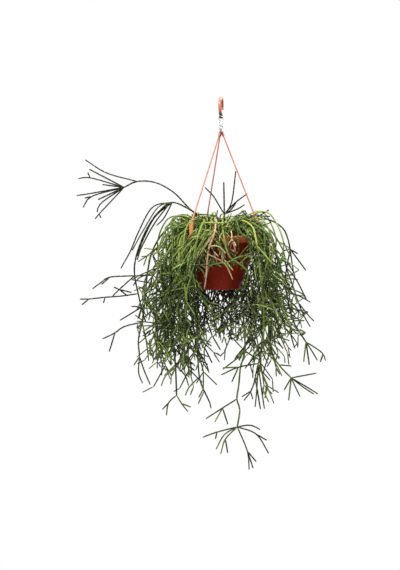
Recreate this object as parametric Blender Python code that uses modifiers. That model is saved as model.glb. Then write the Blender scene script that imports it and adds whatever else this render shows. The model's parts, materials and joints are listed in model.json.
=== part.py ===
"""A rhipsalis in a hanging pot: hook, swivel, hub, three strands, pot, soil and leafless branching stems.

Metres, +Z up, -Y is the front. The origin is where the hook bears, at the top of its inner curve.
"""

import math
from collections import namedtuple

import bmesh
import bpy
import numpy as np
from mathutils import Matrix, Vector

MM = 0.001
GAP = 0.3 * MM
SEED = 41

# Hook: a flat strap bent to a J in its own plane, with a disc and an eye at its foot
HOOK_INNER = 10 * MM
HOOK_THICK = 4 * MM
HOOK_WIDE = 5 * MM
HOOK_TIP_DROP = 8 * MM
HOOK_STEPS = 12
# The shank's middle line from the curve's end to the disc: across and height in millimetres
SHANK_MM = ((-11.2, -15), (-7.5, -20.9), (-2, -25.8))
HOOK_TURN = math.radians(80)
HOOK_FOOT = (-0.5 * MM, -28 * MM)
STRAP_CHAMFER = 0.7 * MM
TIP_FLARE = 0.4 * MM
FOOT_RADIUS = 3.9 * MM
EYE_RADIUS = 2.2 * MM

# Swivel: a wire eye on a headed shaft, which turns in a barrel with a wire eye of its own
WIRE_RADIUS = 0.8 * MM
UPPER_RING = 3.9 * MM
LOWER_RING = 3.2 * MM
SHAFT_RADIUS = 0.9 * MM
HEAD_RADIUS = 2 * MM
HEAD_TALL = 1.4 * MM
BARREL_TOP = -38 * MM
BARREL_TALL = 7.2 * MM
BARREL_RADIUS = 3.3 * MM
BARREL_WALL = 0.8 * MM
BARREL_FLOOR = 1.7 * MM
BARREL_EDGE = 1.1 * MM
BARREL_STEPS = 14
NECK_TALL = 1.6 * MM
NECK_GAP = 0.35 * MM

# Hub: a lug with an eye, a round core and a sleeve for each strand
LUG_WIDE = 5 * MM
LUG_THICK = 2.4 * MM
LUG_EYE = 1.5 * MM
LUG_OVER_EYE = 1.4 * MM
CORE_TOP = -53 * MM
CORE_BOTTOM = -58 * MM
CORE_RADIUS = 3 * MM
SLEEVE_RADIUS = 2.2 * MM
SLEEVE_END = -61 * MM
SOCKET_TOP = -56 * MM
SOCKET_OFFSET = 2.3 * MM

# Strands, each moulded in one with the clip that holds the pot's lip
STRAND_RADIUS = 1.15 * MM
STRAND_AZIMUTHS = {"strand_right": -13, "strand_back": 107, "strand_left": 227}
CLIP_TOP = -199 * MM
CLIP_WIDE = 8 * MM
CLIP_THICK = 2.2 * MM
CLAW_THICK = 2.2 * MM
STRAND_SUNK = 5 * MM
TAB_INSET = 3 * MM

# Pot: radius and height below the rim, from the lip down to the foot
POT_CENTRE = (-4 * MM, 0.0)
RIM_Z = -224 * MM
POT_STEPS = 32
WALL = 2 * MM
LIP_TALL = 12 * MM
LIP_RADIUS = 65 * MM
LIP_INNER = 59.5 * MM
LIP_EDGE = 1.2 * MM
MOUTH_EDGE = 0.8 * MM
FLOOR_EDGE = 1.5 * MM
BODY_MM = ((61.5, 12), (58.5, 28), (50.5, 55), (37.5, 89), (34.5, 92))
POT_TALL = 92 * MM
DRAIN_COUNT = 5
DRAIN_RING = 23 * MM
DRAIN_RADIUS = 3.5 * MM

# Soil, and the holes that the stems stand in
SOIL_Z = RIM_Z - 12 * MM
ROOT_DEEP = 12 * MM
HOLE_RADIUS = 2.8 * MM

# Stems: three-sided, so their radius is to the corners. A twig is narrow where it leaves its parent
STEM_RADIUS = 2.1 * MM
STEM_END = 1.7 * MM
TWIG_RADIUS = 1.5 * MM
TWIG_BASE = 0.6 * MM
TWIG_SUNK = 1.2 * MM
KEPT_FACES = 0.6
STEM_CLEAR = 0.7 * MM
ROOT_RISE = 4 * MM
UNDER_POT = 4 * MM
# How far a drawn stem may move in depth and sideways, and how far a drawn twig may lean, to find its way
DEPTH_SHIFTS = (0, 4, -4, 8, -8, 12, -12, 16, -16, 20, -20)
SIDE_SHIFTS = (0, 4, -4, 8, -8)
TWIG_TRIES = (0, 0.25, -0.25, 0.5, -0.5, 0.8, -0.8, 1.1, -1.1)
LEAN_DEPTH = 0.6
LEAN_LEAST = 0.15

# Guide heights are as seen from a little above the level, so nearer points hang higher than they look
VIEW_SLOPE = math.tan(math.radians(5.5))

# Trailing stems that follow the rule
OUTER_COUNT = 18
INNER_COUNT = 13
FIRST_AZIMUTH = -47
LAST_AZIMUTH = 247
STEP_DOWN = 42 * MM
ROUTE_SLIPS = (0, 4, -4, 8, -8, 12, -12, 16)
ROUTE_TRIES = 60
TURN_SPREAD = 5.5
REACH_SPREAD = 8 * MM
DROP_SPREAD = 6 * MM
CURTAIN_SPREAD = (30 * MM, 90 * MM)
# Chances that a twig ends in no fork, one or two, and the lengths of twigs and forks
FORKED = (0.5, 0.3, 0.2)
TWIG_LONG = (24 * MM, 42 * MM)
FORK_LONG = (13 * MM, 24 * MM)
TWIG_ANGLE = (28, 52)
FREE_TRIES = 24
TWIG_OUTWARD = 0.12
TWIG_DOWNWARD = 0.18
# How low the curtain reaches at each place across it, in millimetres
CURTAIN_X = (-130, -90, -45, -20, 25, 45, 70, 105, 130)
CURTAIN_Z = (-500, -515, -480, -415, -400, -455, -495, -480, -440)

COLOURS = {
    "hook_plastic": ((0.62, 0.20, 0.10), 0.35, 0.0),
    "steel": ((0.72, 0.72, 0.74), 0.25, 1.0),
    "pot_plastic": ((0.42, 0.06, 0.03), 0.3, 0.0),
    "soil": ((0.05, 0.035, 0.025), 0.95, 0.0),
    "stem": ((0.10, 0.22, 0.05), 0.5, 0.0),
}

Twig = namedtuple("Twig", "at path forks")
Guide = namedtuple("Guide", "name root stem twigs")
Branch = namedtuple("Branch", "points radii")


def twig(at, *path, forks=()):
    """A twig that leaves point number at of its parent and passes through these (across, height) points."""
    return Twig(at, path, forks)


# The sprays that the outline shows one by one. Roots are (across, depth), stems (across, depth, height) and
# twigs (across, height), all in millimetres.
GUIDES = (
    Guide(
        "spray_high_left",
        (-24, 14),
        ((-27, 16, -205), (-53, 20, -181), (-79, 24, -154), (-110, 27, -137), (-141, 30, -135),
         (-163, 30, -145)),
        (
            twig(4, (-192, -121), (-228, -99)),
            twig(5, (-222, -114)),
            twig(5, (-220, -129), (-240, -131), forks=(twig(0, (-224, -120)),)),
            twig(5, (-200, -140)),
            twig(5, (-222, -156), (-243, -159)),
            twig(5, (-218, -160), (-233, -179), forks=(twig(0, (-230, -163)),)),
            twig(5, (-207, -166)),
            twig(5, (-203, -172), (-209, -187)),
            twig(5, (-205, -190), (-212, -199), forks=(twig(0, (-202, -197)),)),
        ),
    ),
    Guide(
        "spray_arch_left",
        (-34, -4),
        ((-36, -6, -198), (-54, -8, -183), (-81, -10, -172), (-102, -12, -186), (-120, -14, -210),
         (-134, -16, -240), (-143, -18, -270), (-144, -20, -295), (-138, -22, -325), (-133, -22, -348),
         (-126, -20, -372)),
        (
            twig(2, (-114, -180), (-138, -223), (-150, -252), (-167, -283)),
            twig(2, (-110, -196), (-131, -236), (-140, -262)),
            twig(2, (-96, -200), (-108, -211)),
            twig(7, (-185, -297), (-196, -303), (-215, -317), forks=(twig(0, (-200, -310)),)),
            twig(7, (-111, -294)),
            twig(7, (-170, -318), (-181, -329),
                 forks=(twig(0, (-179, -314)), twig(0, (-156, -329)), twig(0, (-149, -323)))),
            twig(8, (-166, -329), (-193, -331), (-220, -334), (-235, -334),
                 forks=(twig(1, (-196, -341)), twig(2, (-232, -344)))),
            twig(9, (-169, -370)),
            twig(10, (-161, -380), (-177, -391), (-198, -401), forks=(twig(1, (-187, -423)),)),
        ),
    ),
    Guide(
        "spray_crown",
        (5, 8),
        ((5, 8, -212), (6, 9, -191)),
        (
            twig(1, (-5, -173), (-13, -160), (-27, -146)),
            twig(1, (5, -137)),
            twig(1, (18, -172), (25, -119)),
            twig(1, (25, -171), (45, -156)),
            twig(1, (29, -182), (40, -175)),
            twig(1, (17, -184), (26, -171)),
        ),
    ),
    Guide(
        "spray_arch_right",
        (34, 8),
        ((36, 8, -211), (49, 6, -201), (79, 3, -200), (103, 0, -214), (112, -2, -232), (116, -4, -250)),
        (
            twig(1, (64, -194), (81, -184), forks=(twig(0, (83, -195)),)),
            twig(1, (35, -185)),
            twig(5, (119, -272), (122, -291)),
            twig(5, (143, -286)),
            twig(5, (129, -258)),
            twig(5, (105, -253), (99, -263)),
            twig(5, (108, -299), (114, -309)),
        ),
    ),
    Guide(
        "spray_right_edge",
        (44, -4),
        ((50, -5, -208), (80, -6, -216), (104, -8, -252), (110, -10, -282), (121, -8, -312), (131, -6, -342)),
        (
            twig(3, (126, -300), (144, -335)),
            twig(5, (141, -363), (152, -382)),
            twig(5, (148, -362), (158, -372)),
            twig(4, (103, -340), (98, -356)),
        ),
    ),
    Guide(
        "spray_low_right",
        (36, -30),
        ((42, -35, -206), (76, -58, -226), (92, -60, -262), (104, -54, -305), (112, -46, -340),
         (120, -38, -370), (130, -34, -388), (142, -30, -406)),
        (
            twig(5, (139, -370)),
            twig(5, (115, -386), (123, -417)),
            twig(7, (138, -440)),
            twig(7, (148, -445)),
            twig(7, (153, -423), (161, -437)),
            twig(7, (158, -416), (171, -426), (175, -438), forks=(twig(1, (166, -440)),)),
        ),
    ),
    Guide(
        "spray_star_right",
        (46, 13),
        ((56, 16, -209), (84, 24, -226), (98, 26, -270), (92, 24, -320), (84, 18, -370), (88, 12, -420),
         (102, 6, -446), (123, 0, -468)),
        (
            twig(6, (120, -448)),
            twig(7, (162, -460)),
            twig(7, (143, -482), (164, -495)),
            twig(7, (141, -485), (158, -496)),
            twig(7, (134, -500)),
            twig(7, (115, -507)),
            twig(7, (107, -489)),
            twig(5, (76, -447), (72, -462)),
            twig(4, (102, -392), (108, -410)),
        ),
    ),
    Guide(
        "spray_bottom",
        (2, -44),
        ((2, -52, -206), (3, -78, -226), (12, -82, -262), (30, -78, -276), (44, -72, -291), (38, -60, -318),
         (33, -50, -340), (38, -40, -372), (40, -32, -421), (33, -27, -448), (30, -22, -480), (27, -18, -503),
         (32, -14, -522), (28, -10, -551)),
        (
            twig(8, (29, -432), (3, -452)),
            twig(8, (52, -429), (64, -436)),
            twig(11, (3, -518), (-25, -536), forks=(twig(0, (-10, -542)), twig(0, (12, -546)))),
            twig(13, (-6, -560), (-30, -569), forks=(twig(0, (-9, -572)),)),
            twig(13, (6, -564), (-8, -589)),
            twig(13, (8, -572), (0, -598), forks=(twig(0, (12, -596)),)),
            twig(13, (60, -563), (81, -596), forks=(twig(0, (78, -574)),)),
            twig(13, (50, -548), (67, -556)),
            twig(13, (45, -592), (48, -624), forks=(twig(0, (55, -622)), twig(0, (60, -610)))),
            twig(3, (46, -262), (54, -280)),
        ),
    ),
    Guide(
        "spray_cluster",
        (24, -20),
        ((30, -25, -204), (52, -58, -214), (60, -78, -246), (66, -76, -290), (72, -66, -340), (74, -54, -386),
         (71, -44, -420), (66, -38, -442)),
        (
            twig(7, (29, -448), (0, -461), forks=(twig(0, (3, -449)), twig(0, (18, -473)))),
            twig(6, (85, -432), (102, -463)),
            twig(7, (60, -482), (57, -515), forks=(twig(0, (66, -519)),)),
            twig(7, (67, -480), (73, -519), forks=(twig(0, (80, -507)),)),
            twig(7, (52, -484), (38, -504)),
            twig(7, (76, -478), (89, -510), forks=(twig(0, (74, -500)),)),
            twig(6, (50, -437), (40, -450)),
            twig(4, (88, -360), (96, -378)),
            twig(2, (72, -262), (84, -276)),
        ),
    ),
    Guide(
        "spray_left_fork",
        (-42, -20),
        ((-48, -24, -206), (-84, -48, -222), (-98, -56, -262), (-98, -50, -310), (-88, -44, -352),
         (-80, -38, -400), (-76, -32, -445), (-74, -28, -496)),
        (
            twig(7, (-88, -509), (-91, -530), forks=(twig(0, (-98, -520)),)),
            twig(7, (-66, -510), (-55, -524), forks=(twig(0, (-50, -516)),)),
            twig(6, (-92, -462), (-100, -480)),
            twig(6, (-60, -462), (-54, -480)),
            twig(5, (-100, -420), (-110, -436)),
            twig(4, (-104, -372), (-116, -380)),
            twig(4, (-68, -376), (-60, -396)),
        ),
    ),
    Guide(
        "spray_left_edge",
        (-46, 10),
        ((-54, 12, -207), (-90, 18, -216), (-114, 20, -250), (-124, 20, -292), (-128, 18, -336),
         (-133, 14, -374), (-139, 10, -404), (-137, 8, -432)),
        (
            twig(7, (-147, -447)),
            twig(7, (-139, -460), (-132, -478)),
            twig(7, (-130, -454), (-119, -480)),
            twig(5, (-126, -405), (-122, -440), forks=(twig(0, (-114, -424)),)),
            twig(2, (-130, -248)),
            twig(3, (-140, -300), (-148, -312)),
            twig(4, (-112, -352), (-104, -370)),
        ),
    ),
    Guide(
        "spray_under_pot",
        (-4, 40),
        ((-4, 48, -205), (-8, 78, -222), (-18, 80, -275), (-26, 66, -325), (-24, 52, -366), (-14, 44, -398)),
        (
            twig(5, (0, -422)),
            twig(5, (-27, -418), (-27, -440), forks=(twig(0, (-14, -445)),)),
            twig(4, (-44, -396), (-52, -412)),
            twig(3, (-8, -352), (2, -368)),
            twig(2, (-6, -300), (0, -322)),
        ),
    ),
    Guide(
        "spray_low_left",
        (-30, 30),
        ((-36, 38, -206), (-60, 66, -222), (-66, 74, -268), (-58, 62, -320), (-48, 48, -372), (-40, 38, -420),
         (-36, 30, -468), (-28, 24, -492)),
        (
            twig(7, (-18, -512), (-16, -522)),
            twig(7, (-38, -514)),
            twig(6, (-54, -486), (-60, -500)),
            twig(5, (-26, -442), (-20, -458)),
            twig(5, (-56, -440), (-62, -456)),
            twig(4, (-68, -396), (-76, -410)),
            twig(3, (-40, -346), (-34, -364)),
        ),
    ),
    Guide(
        "spray_front_curl",
        (-10, -38),
        ((-9, -48, -202), (-11, -80, -224), (-19, -84, -247), (-22, -82, -260), (-25, -80, -300)),
        (
            twig(0, (-6, -186)),
            twig(1, (-34, -258), (-43, -271)),
            twig(2, (-4, -247), (7, -259)),
            twig(3, (-7, -267), (8, -278), (19, -302)),
            twig(4, (-28, -318)),
        ),
    ),
    Guide(
        "spray_front_left",
        (-24, -32),
        ((-26, -46, -204), (-36, -76, -228), (-46, -78, -272), (-67, -72, -297), (-84, -62, -318)),
        (
            twig(1, (-56, -246), (-66, -262)),
            twig(2, (-30, -288), (-26, -302)),
            twig(3, (-60, -312), (-62, -330)),
            twig(4, (-98, -330), (-104, -348)),
            twig(4, (-84, -345)),
        ),
    ),
    Guide(
        "spray_front_right",
        (22, -40),
        ((24, -50, -204), (34, -76, -226), (52, -80, -238), (63, -80, -259), (79, -74, -298),
         (98, -66, -320)),
        (
            twig(1, (46, -236), (47, -262)),
            twig(3, (56, -276), (58, -292)),
            twig(4, (68, -314), (66, -334)),
            twig(5, (112, -334), (118, -352)),
            twig(5, (96, -348)),
        ),
    ),
)


def turned_about(azimuth):
    """The unit vector that points this way round, level."""
    return Vector((math.cos(azimuth), math.sin(azimuth), 0))


def pot_axis(z):
    return Vector((POT_CENTRE[0], POT_CENTRE[1], z))


# Scene, materials and meshes


def clear_scene():
    """Removes what the file opens with."""
    for obj in list(bpy.data.objects):
        bpy.data.objects.remove(obj, do_unlink=True)


def new_collection(name):
    found = bpy.data.collections.new(name)
    bpy.context.scene.collection.children.link(found)
    return found


def make_materials():
    """One plain Principled material for each finish."""
    made = {}
    for name, (colour, roughness, metallic) in COLOURS.items():
        material = bpy.data.materials.new(name)
        material.use_nodes = True
        shader = material.node_tree.nodes["Principled BSDF"]
        shader.inputs["Base Color"].default_value = (*colour, 1)
        shader.inputs["Roughness"].default_value = roughness
        shader.inputs["Metallic"].default_value = metallic
        material.diffuse_color = (*colour, 1)
        made[name] = material
    return made


def add_object(name, data, collection):
    obj = bpy.data.objects.new(name, data)
    collection.objects.link(obj)
    return obj


def solid_mesh(name, build, matrix):
    """A mesh from one bmesh primitive, moved into place."""
    mesh = bpy.data.meshes.new(name)
    shape = bmesh.new()
    build(shape)
    bmesh.ops.transform(shape, matrix=matrix, verts=shape.verts)
    bmesh.ops.recalc_face_normals(shape, faces=shape.faces)
    shape.to_mesh(mesh)
    shape.free()
    return mesh


def rod(name, start, end, radius, collection, sides=12, end_radius=None):
    """A straight round rod between two points."""
    start, end = Vector(start), Vector(end)
    along = end - start
    turn = along.to_track_quat("Z", "Y").to_matrix().to_4x4()
    place = Matrix.Translation((start + end) / 2) @ turn
    tip = radius if end_radius is None else end_radius

    def build(shape):
        bmesh.ops.create_cone(
            shape, cap_ends=True, segments=sides, radius1=radius, radius2=tip, depth=along.length
        )

    return add_object(name, solid_mesh(name, build, place), collection)


def block(name, low, high, collection, turn=0.0, about=(0, 0)):
    """A box between two corners, turned about an upright line."""
    low, high = Vector(low), Vector(high)
    size = high - low
    spin = Matrix.Translation((*about, 0)) @ Matrix.Rotation(turn, 4, "Z")
    place = spin @ Matrix.Translation((low + high) / 2) @ Matrix.Diagonal((*size, 1))

    def build(shape):
        bmesh.ops.create_cube(shape, size=1)

    return add_object(name, solid_mesh(name, build, place), collection)


def curve_mesh_object(name, curve, collection):
    """The welded mesh of a curve, as an object. The curve's own object is removed."""
    guide = add_object(name, curve, collection)
    bpy.context.view_layer.update()
    evaluated = guide.evaluated_get(bpy.context.evaluated_depsgraph_get())
    mesh = bpy.data.meshes.new_from_object(evaluated)
    weld(mesh)
    bpy.data.objects.remove(guide, do_unlink=True)
    return add_object(name, mesh, collection)


def weld(mesh, within=0.005 * MM):
    shape = bmesh.new()
    shape.from_mesh(mesh)
    bmesh.ops.remove_doubles(shape, verts=shape.verts, dist=within)
    bmesh.ops.recalc_face_normals(shape, faces=shape.faces)
    shape.to_mesh(mesh)
    shape.free()


def poly_curve(name, points, radii=None, cyclic=False):
    """A curve with one straight-sided spline through the points."""
    curve = bpy.data.curves.new(name, "CURVE")
    curve.dimensions = "3D"
    curve.use_fill_caps = not cyclic
    spline = curve.splines.new("POLY")
    spline.points.add(len(points) - 1)
    for number, (point, place) in enumerate(zip(spline.points, points)):
        point.co = (*place, 1)
        point.radius = 1 if radii is None else radii[number]
    spline.use_cyclic_u = cyclic
    return curve


def wire_ring(name, centre, radius, across, collection, points=14):
    """A ring of wire that stands upright, with this level direction across it."""
    across, upward = Vector(across), Vector((0, 0, 1))
    places = []
    for number in range(points):
        angle = math.tau * number / points
        spoke = across * math.cos(angle) + upward * math.sin(angle)
        places.append(Vector(centre) + spoke * radius)
    curve = poly_curve(name, places, cyclic=True)
    curve.bevel_depth = WIRE_RADIUS
    curve.bevel_resolution = 1
    return curve_mesh_object(name, curve, collection)


def turned(name, profile, steps, collection):
    """A turned solid: the (radius, height) profile goes round the upright axis, from axis to axis."""
    mesh = bpy.data.meshes.new(name)
    places = [(radius, 0, height) for radius, height in profile]
    edges = [(number, number + 1) for number in range(len(profile) - 1)]
    mesh.from_pydata(places, edges, [])
    obj = add_object(name, mesh, collection)
    screw = obj.modifiers.new("Turn", "SCREW")
    screw.steps = steps
    screw.render_steps = steps
    screw.use_merge_vertices = True
    screw.merge_threshold = 0.01 * MM
    bake(obj)
    return obj


def bake(obj):
    """Puts the modifiers' result into the object's own mesh."""
    bpy.context.view_layer.update()
    mesh = bpy.data.meshes.new_from_object(obj.evaluated_get(bpy.context.evaluated_depsgraph_get()))
    obj.modifiers.clear()
    obj.data = mesh


def combine(obj, operation, others, solver="EXACT"):
    """One Boolean with all the objects of a collection, which are then removed."""
    boolean = obj.modifiers.new("Combine", "BOOLEAN")
    boolean.operation = operation
    boolean.operand_type = "COLLECTION"
    boolean.collection = others
    boolean.solver = solver
    bake(obj)
    for other in list(others.objects):
        bpy.data.objects.remove(other, do_unlink=True)
    bpy.data.collections.remove(others)


def keep_main_body(obj):
    """Drops the loose scraps and the sealed hollows that a union can leave."""
    shape = bmesh.new()
    shape.from_mesh(obj.data)
    left = set(shape.verts)
    bodies = []
    while left:
        body, edge = set(), [next(iter(left))]
        while edge:
            vert = edge.pop()
            if vert in body:
                continue
            body.add(vert)
            edge += [link.other_vert(vert) for link in vert.link_edges]
        bodies.append(body)
        left -= body
    main = max(bodies, key=len)
    bmesh.ops.delete(shape, geom=[vert for vert in shape.verts if vert not in main], context="VERTS")
    shape.to_mesh(obj.data)
    shape.free()


def is_closed(mesh):
    shape = bmesh.new()
    shape.from_mesh(mesh)
    closed = all(len(edge.link_faces) == 2 for edge in shape.edges)
    shape.free()
    return closed


def lighten(obj):
    """Collapses the tiny faces that a union leaves round each fork, where the mesh stays closed."""
    full = obj.data
    obj.modifiers.new("Triangles", "TRIANGULATE")
    decimate = obj.modifiers.new("Fewer", "DECIMATE")
    decimate.ratio = KEPT_FACES
    bake(obj)
    if not is_closed(obj.data):
        obj.data = full


def finish(obj, name, material, smooth_angle=35):
    obj.name = name
    obj.data.name = name
    obj.data.materials.clear()
    obj.data.materials.append(material)
    obj.data.shade_smooth()
    obj.data.set_sharp_from_angle(angle=math.radians(smooth_angle))
    return obj


# Hanger


def hook_route():
    """The strap's middle line in the hook's own plane, from its tip over the top to its foot."""
    middle = HOOK_INNER + HOOK_THICK / 2
    centre_z = -HOOK_INNER
    route = [(middle + TIP_FLARE, centre_z - HOOK_TIP_DROP)]
    for step in range(HOOK_STEPS + 1):
        angle = math.pi * step / HOOK_STEPS
        route.append((middle * math.cos(angle), centre_z + middle * math.sin(angle)))
    foot_x, foot_z = HOOK_FOOT
    route += [(x * MM, z * MM) for x, z in SHANK_MM]
    route.append((foot_x, foot_z))
    return [Vector((x, 0, z)) for x, z in route]


def strap_section(collection):
    """The strap's cross-section, a rectangle with its corners cut."""
    half_thick, half_wide = HOOK_THICK / 2, HOOK_WIDE / 2
    quarter = ((half_thick, half_wide - STRAP_CHAMFER), (half_thick - STRAP_CHAMFER, half_wide))
    corners = []
    for side_x, side_y in ((1, 1), (-1, 1), (-1, -1), (1, -1)):
        pair = [(side_x * x, side_y * y, 0) for x, y in quarter]
        corners += pair if side_x * side_y > 0 else pair[::-1]
    return add_object("strap_section", poly_curve("strap_section", corners, cyclic=True), collection)


def make_hook(parts, material):
    """The strap, with a disc at its foot and an eye through the disc."""
    helpers = new_collection("hook_helpers")
    section = strap_section(helpers)
    curve = poly_curve("hook", hook_route())
    curve.bevel_mode = "OBJECT"
    curve.bevel_object = section
    strap = curve_mesh_object("hook", curve, parts)
    bpy.data.objects.remove(section, do_unlink=True)
    foot_x, foot_z = HOOK_FOOT
    half = Vector((0, HOOK_WIDE / 2, 0))
    foot = Vector((foot_x, 0, foot_z))
    rod("foot", foot - half, foot + half, FOOT_RADIUS, helpers, sides=20)
    combine(strap, "UNION", helpers)
    cutters = new_collection("hook_cutters")
    rod("eye", foot - 2 * half, foot + 2 * half, EYE_RADIUS, cutters, sides=14)
    combine(strap, "DIFFERENCE", cutters)
    strap.data.transform(Matrix.Rotation(HOOK_TURN, 4, "Z"))
    return finish(strap, "hook", material)


def foot_place():
    """The middle of the hook's eye in the part's frame."""
    return Matrix.Rotation(HOOK_TURN, 4, "Z") @ Vector((HOOK_FOOT[0], 0, HOOK_FOOT[1]))


def ring_sag(radius, half_width):
    """How far a ring of this radius bends away over half the width of the plate that it goes through."""
    return radius - math.sqrt(radius**2 - half_width**2)


def make_swivel_eye(parts, material):
    """A ring through the hook's eye, on a shaft whose head turns inside the barrel."""
    eye = foot_place()
    ring_top = eye.z - EYE_RADIUS + WIRE_RADIUS + 2 * GAP + ring_sag(UPPER_RING, HOOK_WIDE / 2)
    ring_z = ring_top - UPPER_RING
    across = turned_about(HOOK_TURN + math.pi / 2)
    ring = wire_ring("swivel_eye", (0, 0, ring_z), UPPER_RING, across, parts)
    helpers = new_collection("eye_helpers")
    head_top = BARREL_TOP - NECK_TALL - 2 * GAP
    shaft_top = ring_z - UPPER_RING + WIRE_RADIUS / 2
    rod("shaft", (0, 0, shaft_top), (0, 0, head_top - HEAD_TALL / 2), SHAFT_RADIUS, helpers)
    rod("head", (0, 0, head_top), (0, 0, head_top - HEAD_TALL), HEAD_RADIUS, helpers)
    combine(ring, "UNION", helpers)
    return finish(ring, "swivel_eye", material)


def lower_ring_z():
    return BARREL_TOP - BARREL_TALL - LOWER_RING + WIRE_RADIUS


def make_swivel_barrel(parts, material):
    """A hollow barrel round the shaft's head, with a ring below it for the hub."""
    bottom = BARREL_TOP - BARREL_TALL
    neck = SHAFT_RADIUS + NECK_GAP
    room = BARREL_RADIUS - BARREL_WALL
    profile = (
        (0, bottom + BARREL_FLOOR),
        (room, bottom + BARREL_FLOOR),
        (room, BARREL_TOP - NECK_TALL),
        (neck, BARREL_TOP - NECK_TALL),
        (neck, BARREL_TOP),
        (BARREL_RADIUS - BARREL_EDGE, BARREL_TOP),
        (BARREL_RADIUS, BARREL_TOP - BARREL_EDGE),
        (BARREL_RADIUS, bottom + BARREL_EDGE),
        (BARREL_RADIUS - BARREL_EDGE, bottom),
        (0, bottom),
    )
    barrel = turned("swivel_barrel", profile, BARREL_STEPS, parts)
    helpers = new_collection("barrel_helpers")
    wire_ring("ring", (0, 0, lower_ring_z()), LOWER_RING, (1, 0, 0), helpers)
    combine(barrel, "UNION", helpers)
    return finish(barrel, "swivel_barrel", material)


def strand_line(azimuth):
    """Where a strand starts in its socket and where it ends inside its clip."""
    outward = turned_about(math.radians(azimuth))
    lower = pot_axis(CLIP_TOP - STRAND_SUNK) + outward * (LIP_RADIUS + GAP + CLIP_THICK / 2)
    level = Vector((lower.x, lower.y, 0)).normalized()
    upper = level * SOCKET_OFFSET + Vector((0, 0, SOCKET_TOP))
    return upper, lower


def along_strand(azimuth, z):
    upper, lower = strand_line(azimuth)
    return upper.lerp(lower, (z - upper.z) / (lower.z - upper.z))


def make_hub(parts, material):
    """A lug that hangs on the swivel's ring, a core, and a sleeve with a blind socket for each strand."""
    wire_low = lower_ring_z() - LOWER_RING
    eye_z = wire_low + WIRE_RADIUS + GAP + ring_sag(LOWER_RING, LUG_THICK / 2) - LUG_EYE
    lug_top = eye_z + LUG_EYE + LUG_OVER_EYE
    hub = rod("hub", (0, 0, CORE_TOP), (0, 0, CORE_BOTTOM), CORE_RADIUS, parts, sides=16)
    helpers = new_collection("hub_helpers")
    block(
        "lug",
        (-LUG_THICK / 2, -LUG_WIDE / 2, CORE_TOP - 1 * MM),
        (LUG_THICK / 2, LUG_WIDE / 2, lug_top),
        helpers,
    )
    for azimuth in STRAND_AZIMUTHS.values():
        start = along_strand(azimuth, CORE_TOP - 1.5 * MM)
        rod("sleeve", start, along_strand(azimuth, SLEEVE_END), SLEEVE_RADIUS, helpers, sides=10)
    combine(hub, "UNION", helpers)
    cutters = new_collection("hub_cutters")
    rod("lug_eye", (-LUG_WIDE, 0, eye_z), (LUG_WIDE, 0, eye_z), LUG_EYE, cutters)
    for azimuth in STRAND_AZIMUTHS.values():
        start, end = along_strand(azimuth, SOCKET_TOP), along_strand(azimuth, SLEEVE_END - 3 * MM)
        rod("socket", start, end, STRAND_RADIUS + GAP, cutters, sides=10)
    combine(hub, "DIFFERENCE", cutters)
    return finish(hub, "hub", material)


def make_strand(name, azimuth, parts, material):
    """A thin rod that ends in a flat tongue, with a tab over the pot's rim and a claw under its lip."""
    upper = along_strand(azimuth, SOCKET_TOP - GAP)
    strand = rod(name, upper, strand_line(azimuth)[1], STRAND_RADIUS, parts, sides=8)
    helpers = new_collection("clip_helpers")
    turn = math.radians(azimuth)
    inner, outer = LIP_RADIUS + GAP, LIP_RADIUS + GAP + CLIP_THICK
    under_lip, over_lip = RIM_Z - LIP_TALL - GAP, RIM_Z + GAP
    for label, near, far, low, high in (
        ("tongue", inner, outer, under_lip - CLAW_THICK, CLIP_TOP),
        ("claw", LIP_INNER + WALL + 2 * GAP, inner + GAP, under_lip - CLAW_THICK, under_lip),
        ("tab", LIP_INNER + TAB_INSET, inner + GAP, over_lip, over_lip + CLAW_THICK),
    ):
        half = CLIP_WIDE / 2
        block(label, (near, -half, low), (far, half, high), helpers, turn, POT_CENTRE)
    combine(strand, "UNION", helpers)
    return finish(strand, name, material, smooth_angle=30)


# Pot and soil


def outer_profile():
    """The pot's outside, from the rim down: (radius, height) in metres."""
    lip = [
        (LIP_RADIUS - LIP_EDGE, RIM_Z),
        (LIP_RADIUS, RIM_Z - LIP_EDGE),
        (LIP_RADIUS, RIM_Z - LIP_TALL + MOUTH_EDGE),
        (LIP_RADIUS - MOUTH_EDGE, RIM_Z - LIP_TALL),
    ]
    return lip + [(radius * MM, RIM_Z - drop * MM) for radius, drop in BODY_MM]


def inner_profile():
    """The pot's inside, from the rim down to its floor."""
    floor_z = RIM_Z - POT_TALL + WALL
    inside = [(LIP_INNER + MOUTH_EDGE, RIM_Z), (LIP_INNER, RIM_Z - WALL)]
    for radius, drop in BODY_MM[:-2]:
        inside.append((radius * MM - WALL, RIM_Z - drop * MM))
    inside.append((BODY_MM[-2][0] * MM - WALL, floor_z + FLOOR_EDGE))
    inside.append((BODY_MM[-2][0] * MM - WALL - FLOOR_EDGE, floor_z))
    return inside


def make_pot(parts, material):
    """A round pot with a thick lip and drain holes through its floor."""
    inside, outside = inner_profile(), outer_profile()
    profile = [(0, inside[-1][1])] + inside[::-1] + outside + [(0, RIM_Z - POT_TALL)]
    pot = turned("pot", profile, POT_STEPS, parts)
    pot.data.transform(Matrix.Translation((*POT_CENTRE, 0)))
    cutters = new_collection("drain_cutters")
    for number in range(DRAIN_COUNT):
        place = pot_axis(RIM_Z - POT_TALL) + turned_about(math.tau * number / DRAIN_COUNT) * DRAIN_RING
        lift = Vector((0, 0, 2 * WALL))
        rod("drain", place - lift, place + lift, DRAIN_RADIUS, cutters, sides=10)
    combine(pot, "DIFFERENCE", cutters)
    return finish(pot, "pot", material, smooth_angle=28)


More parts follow.
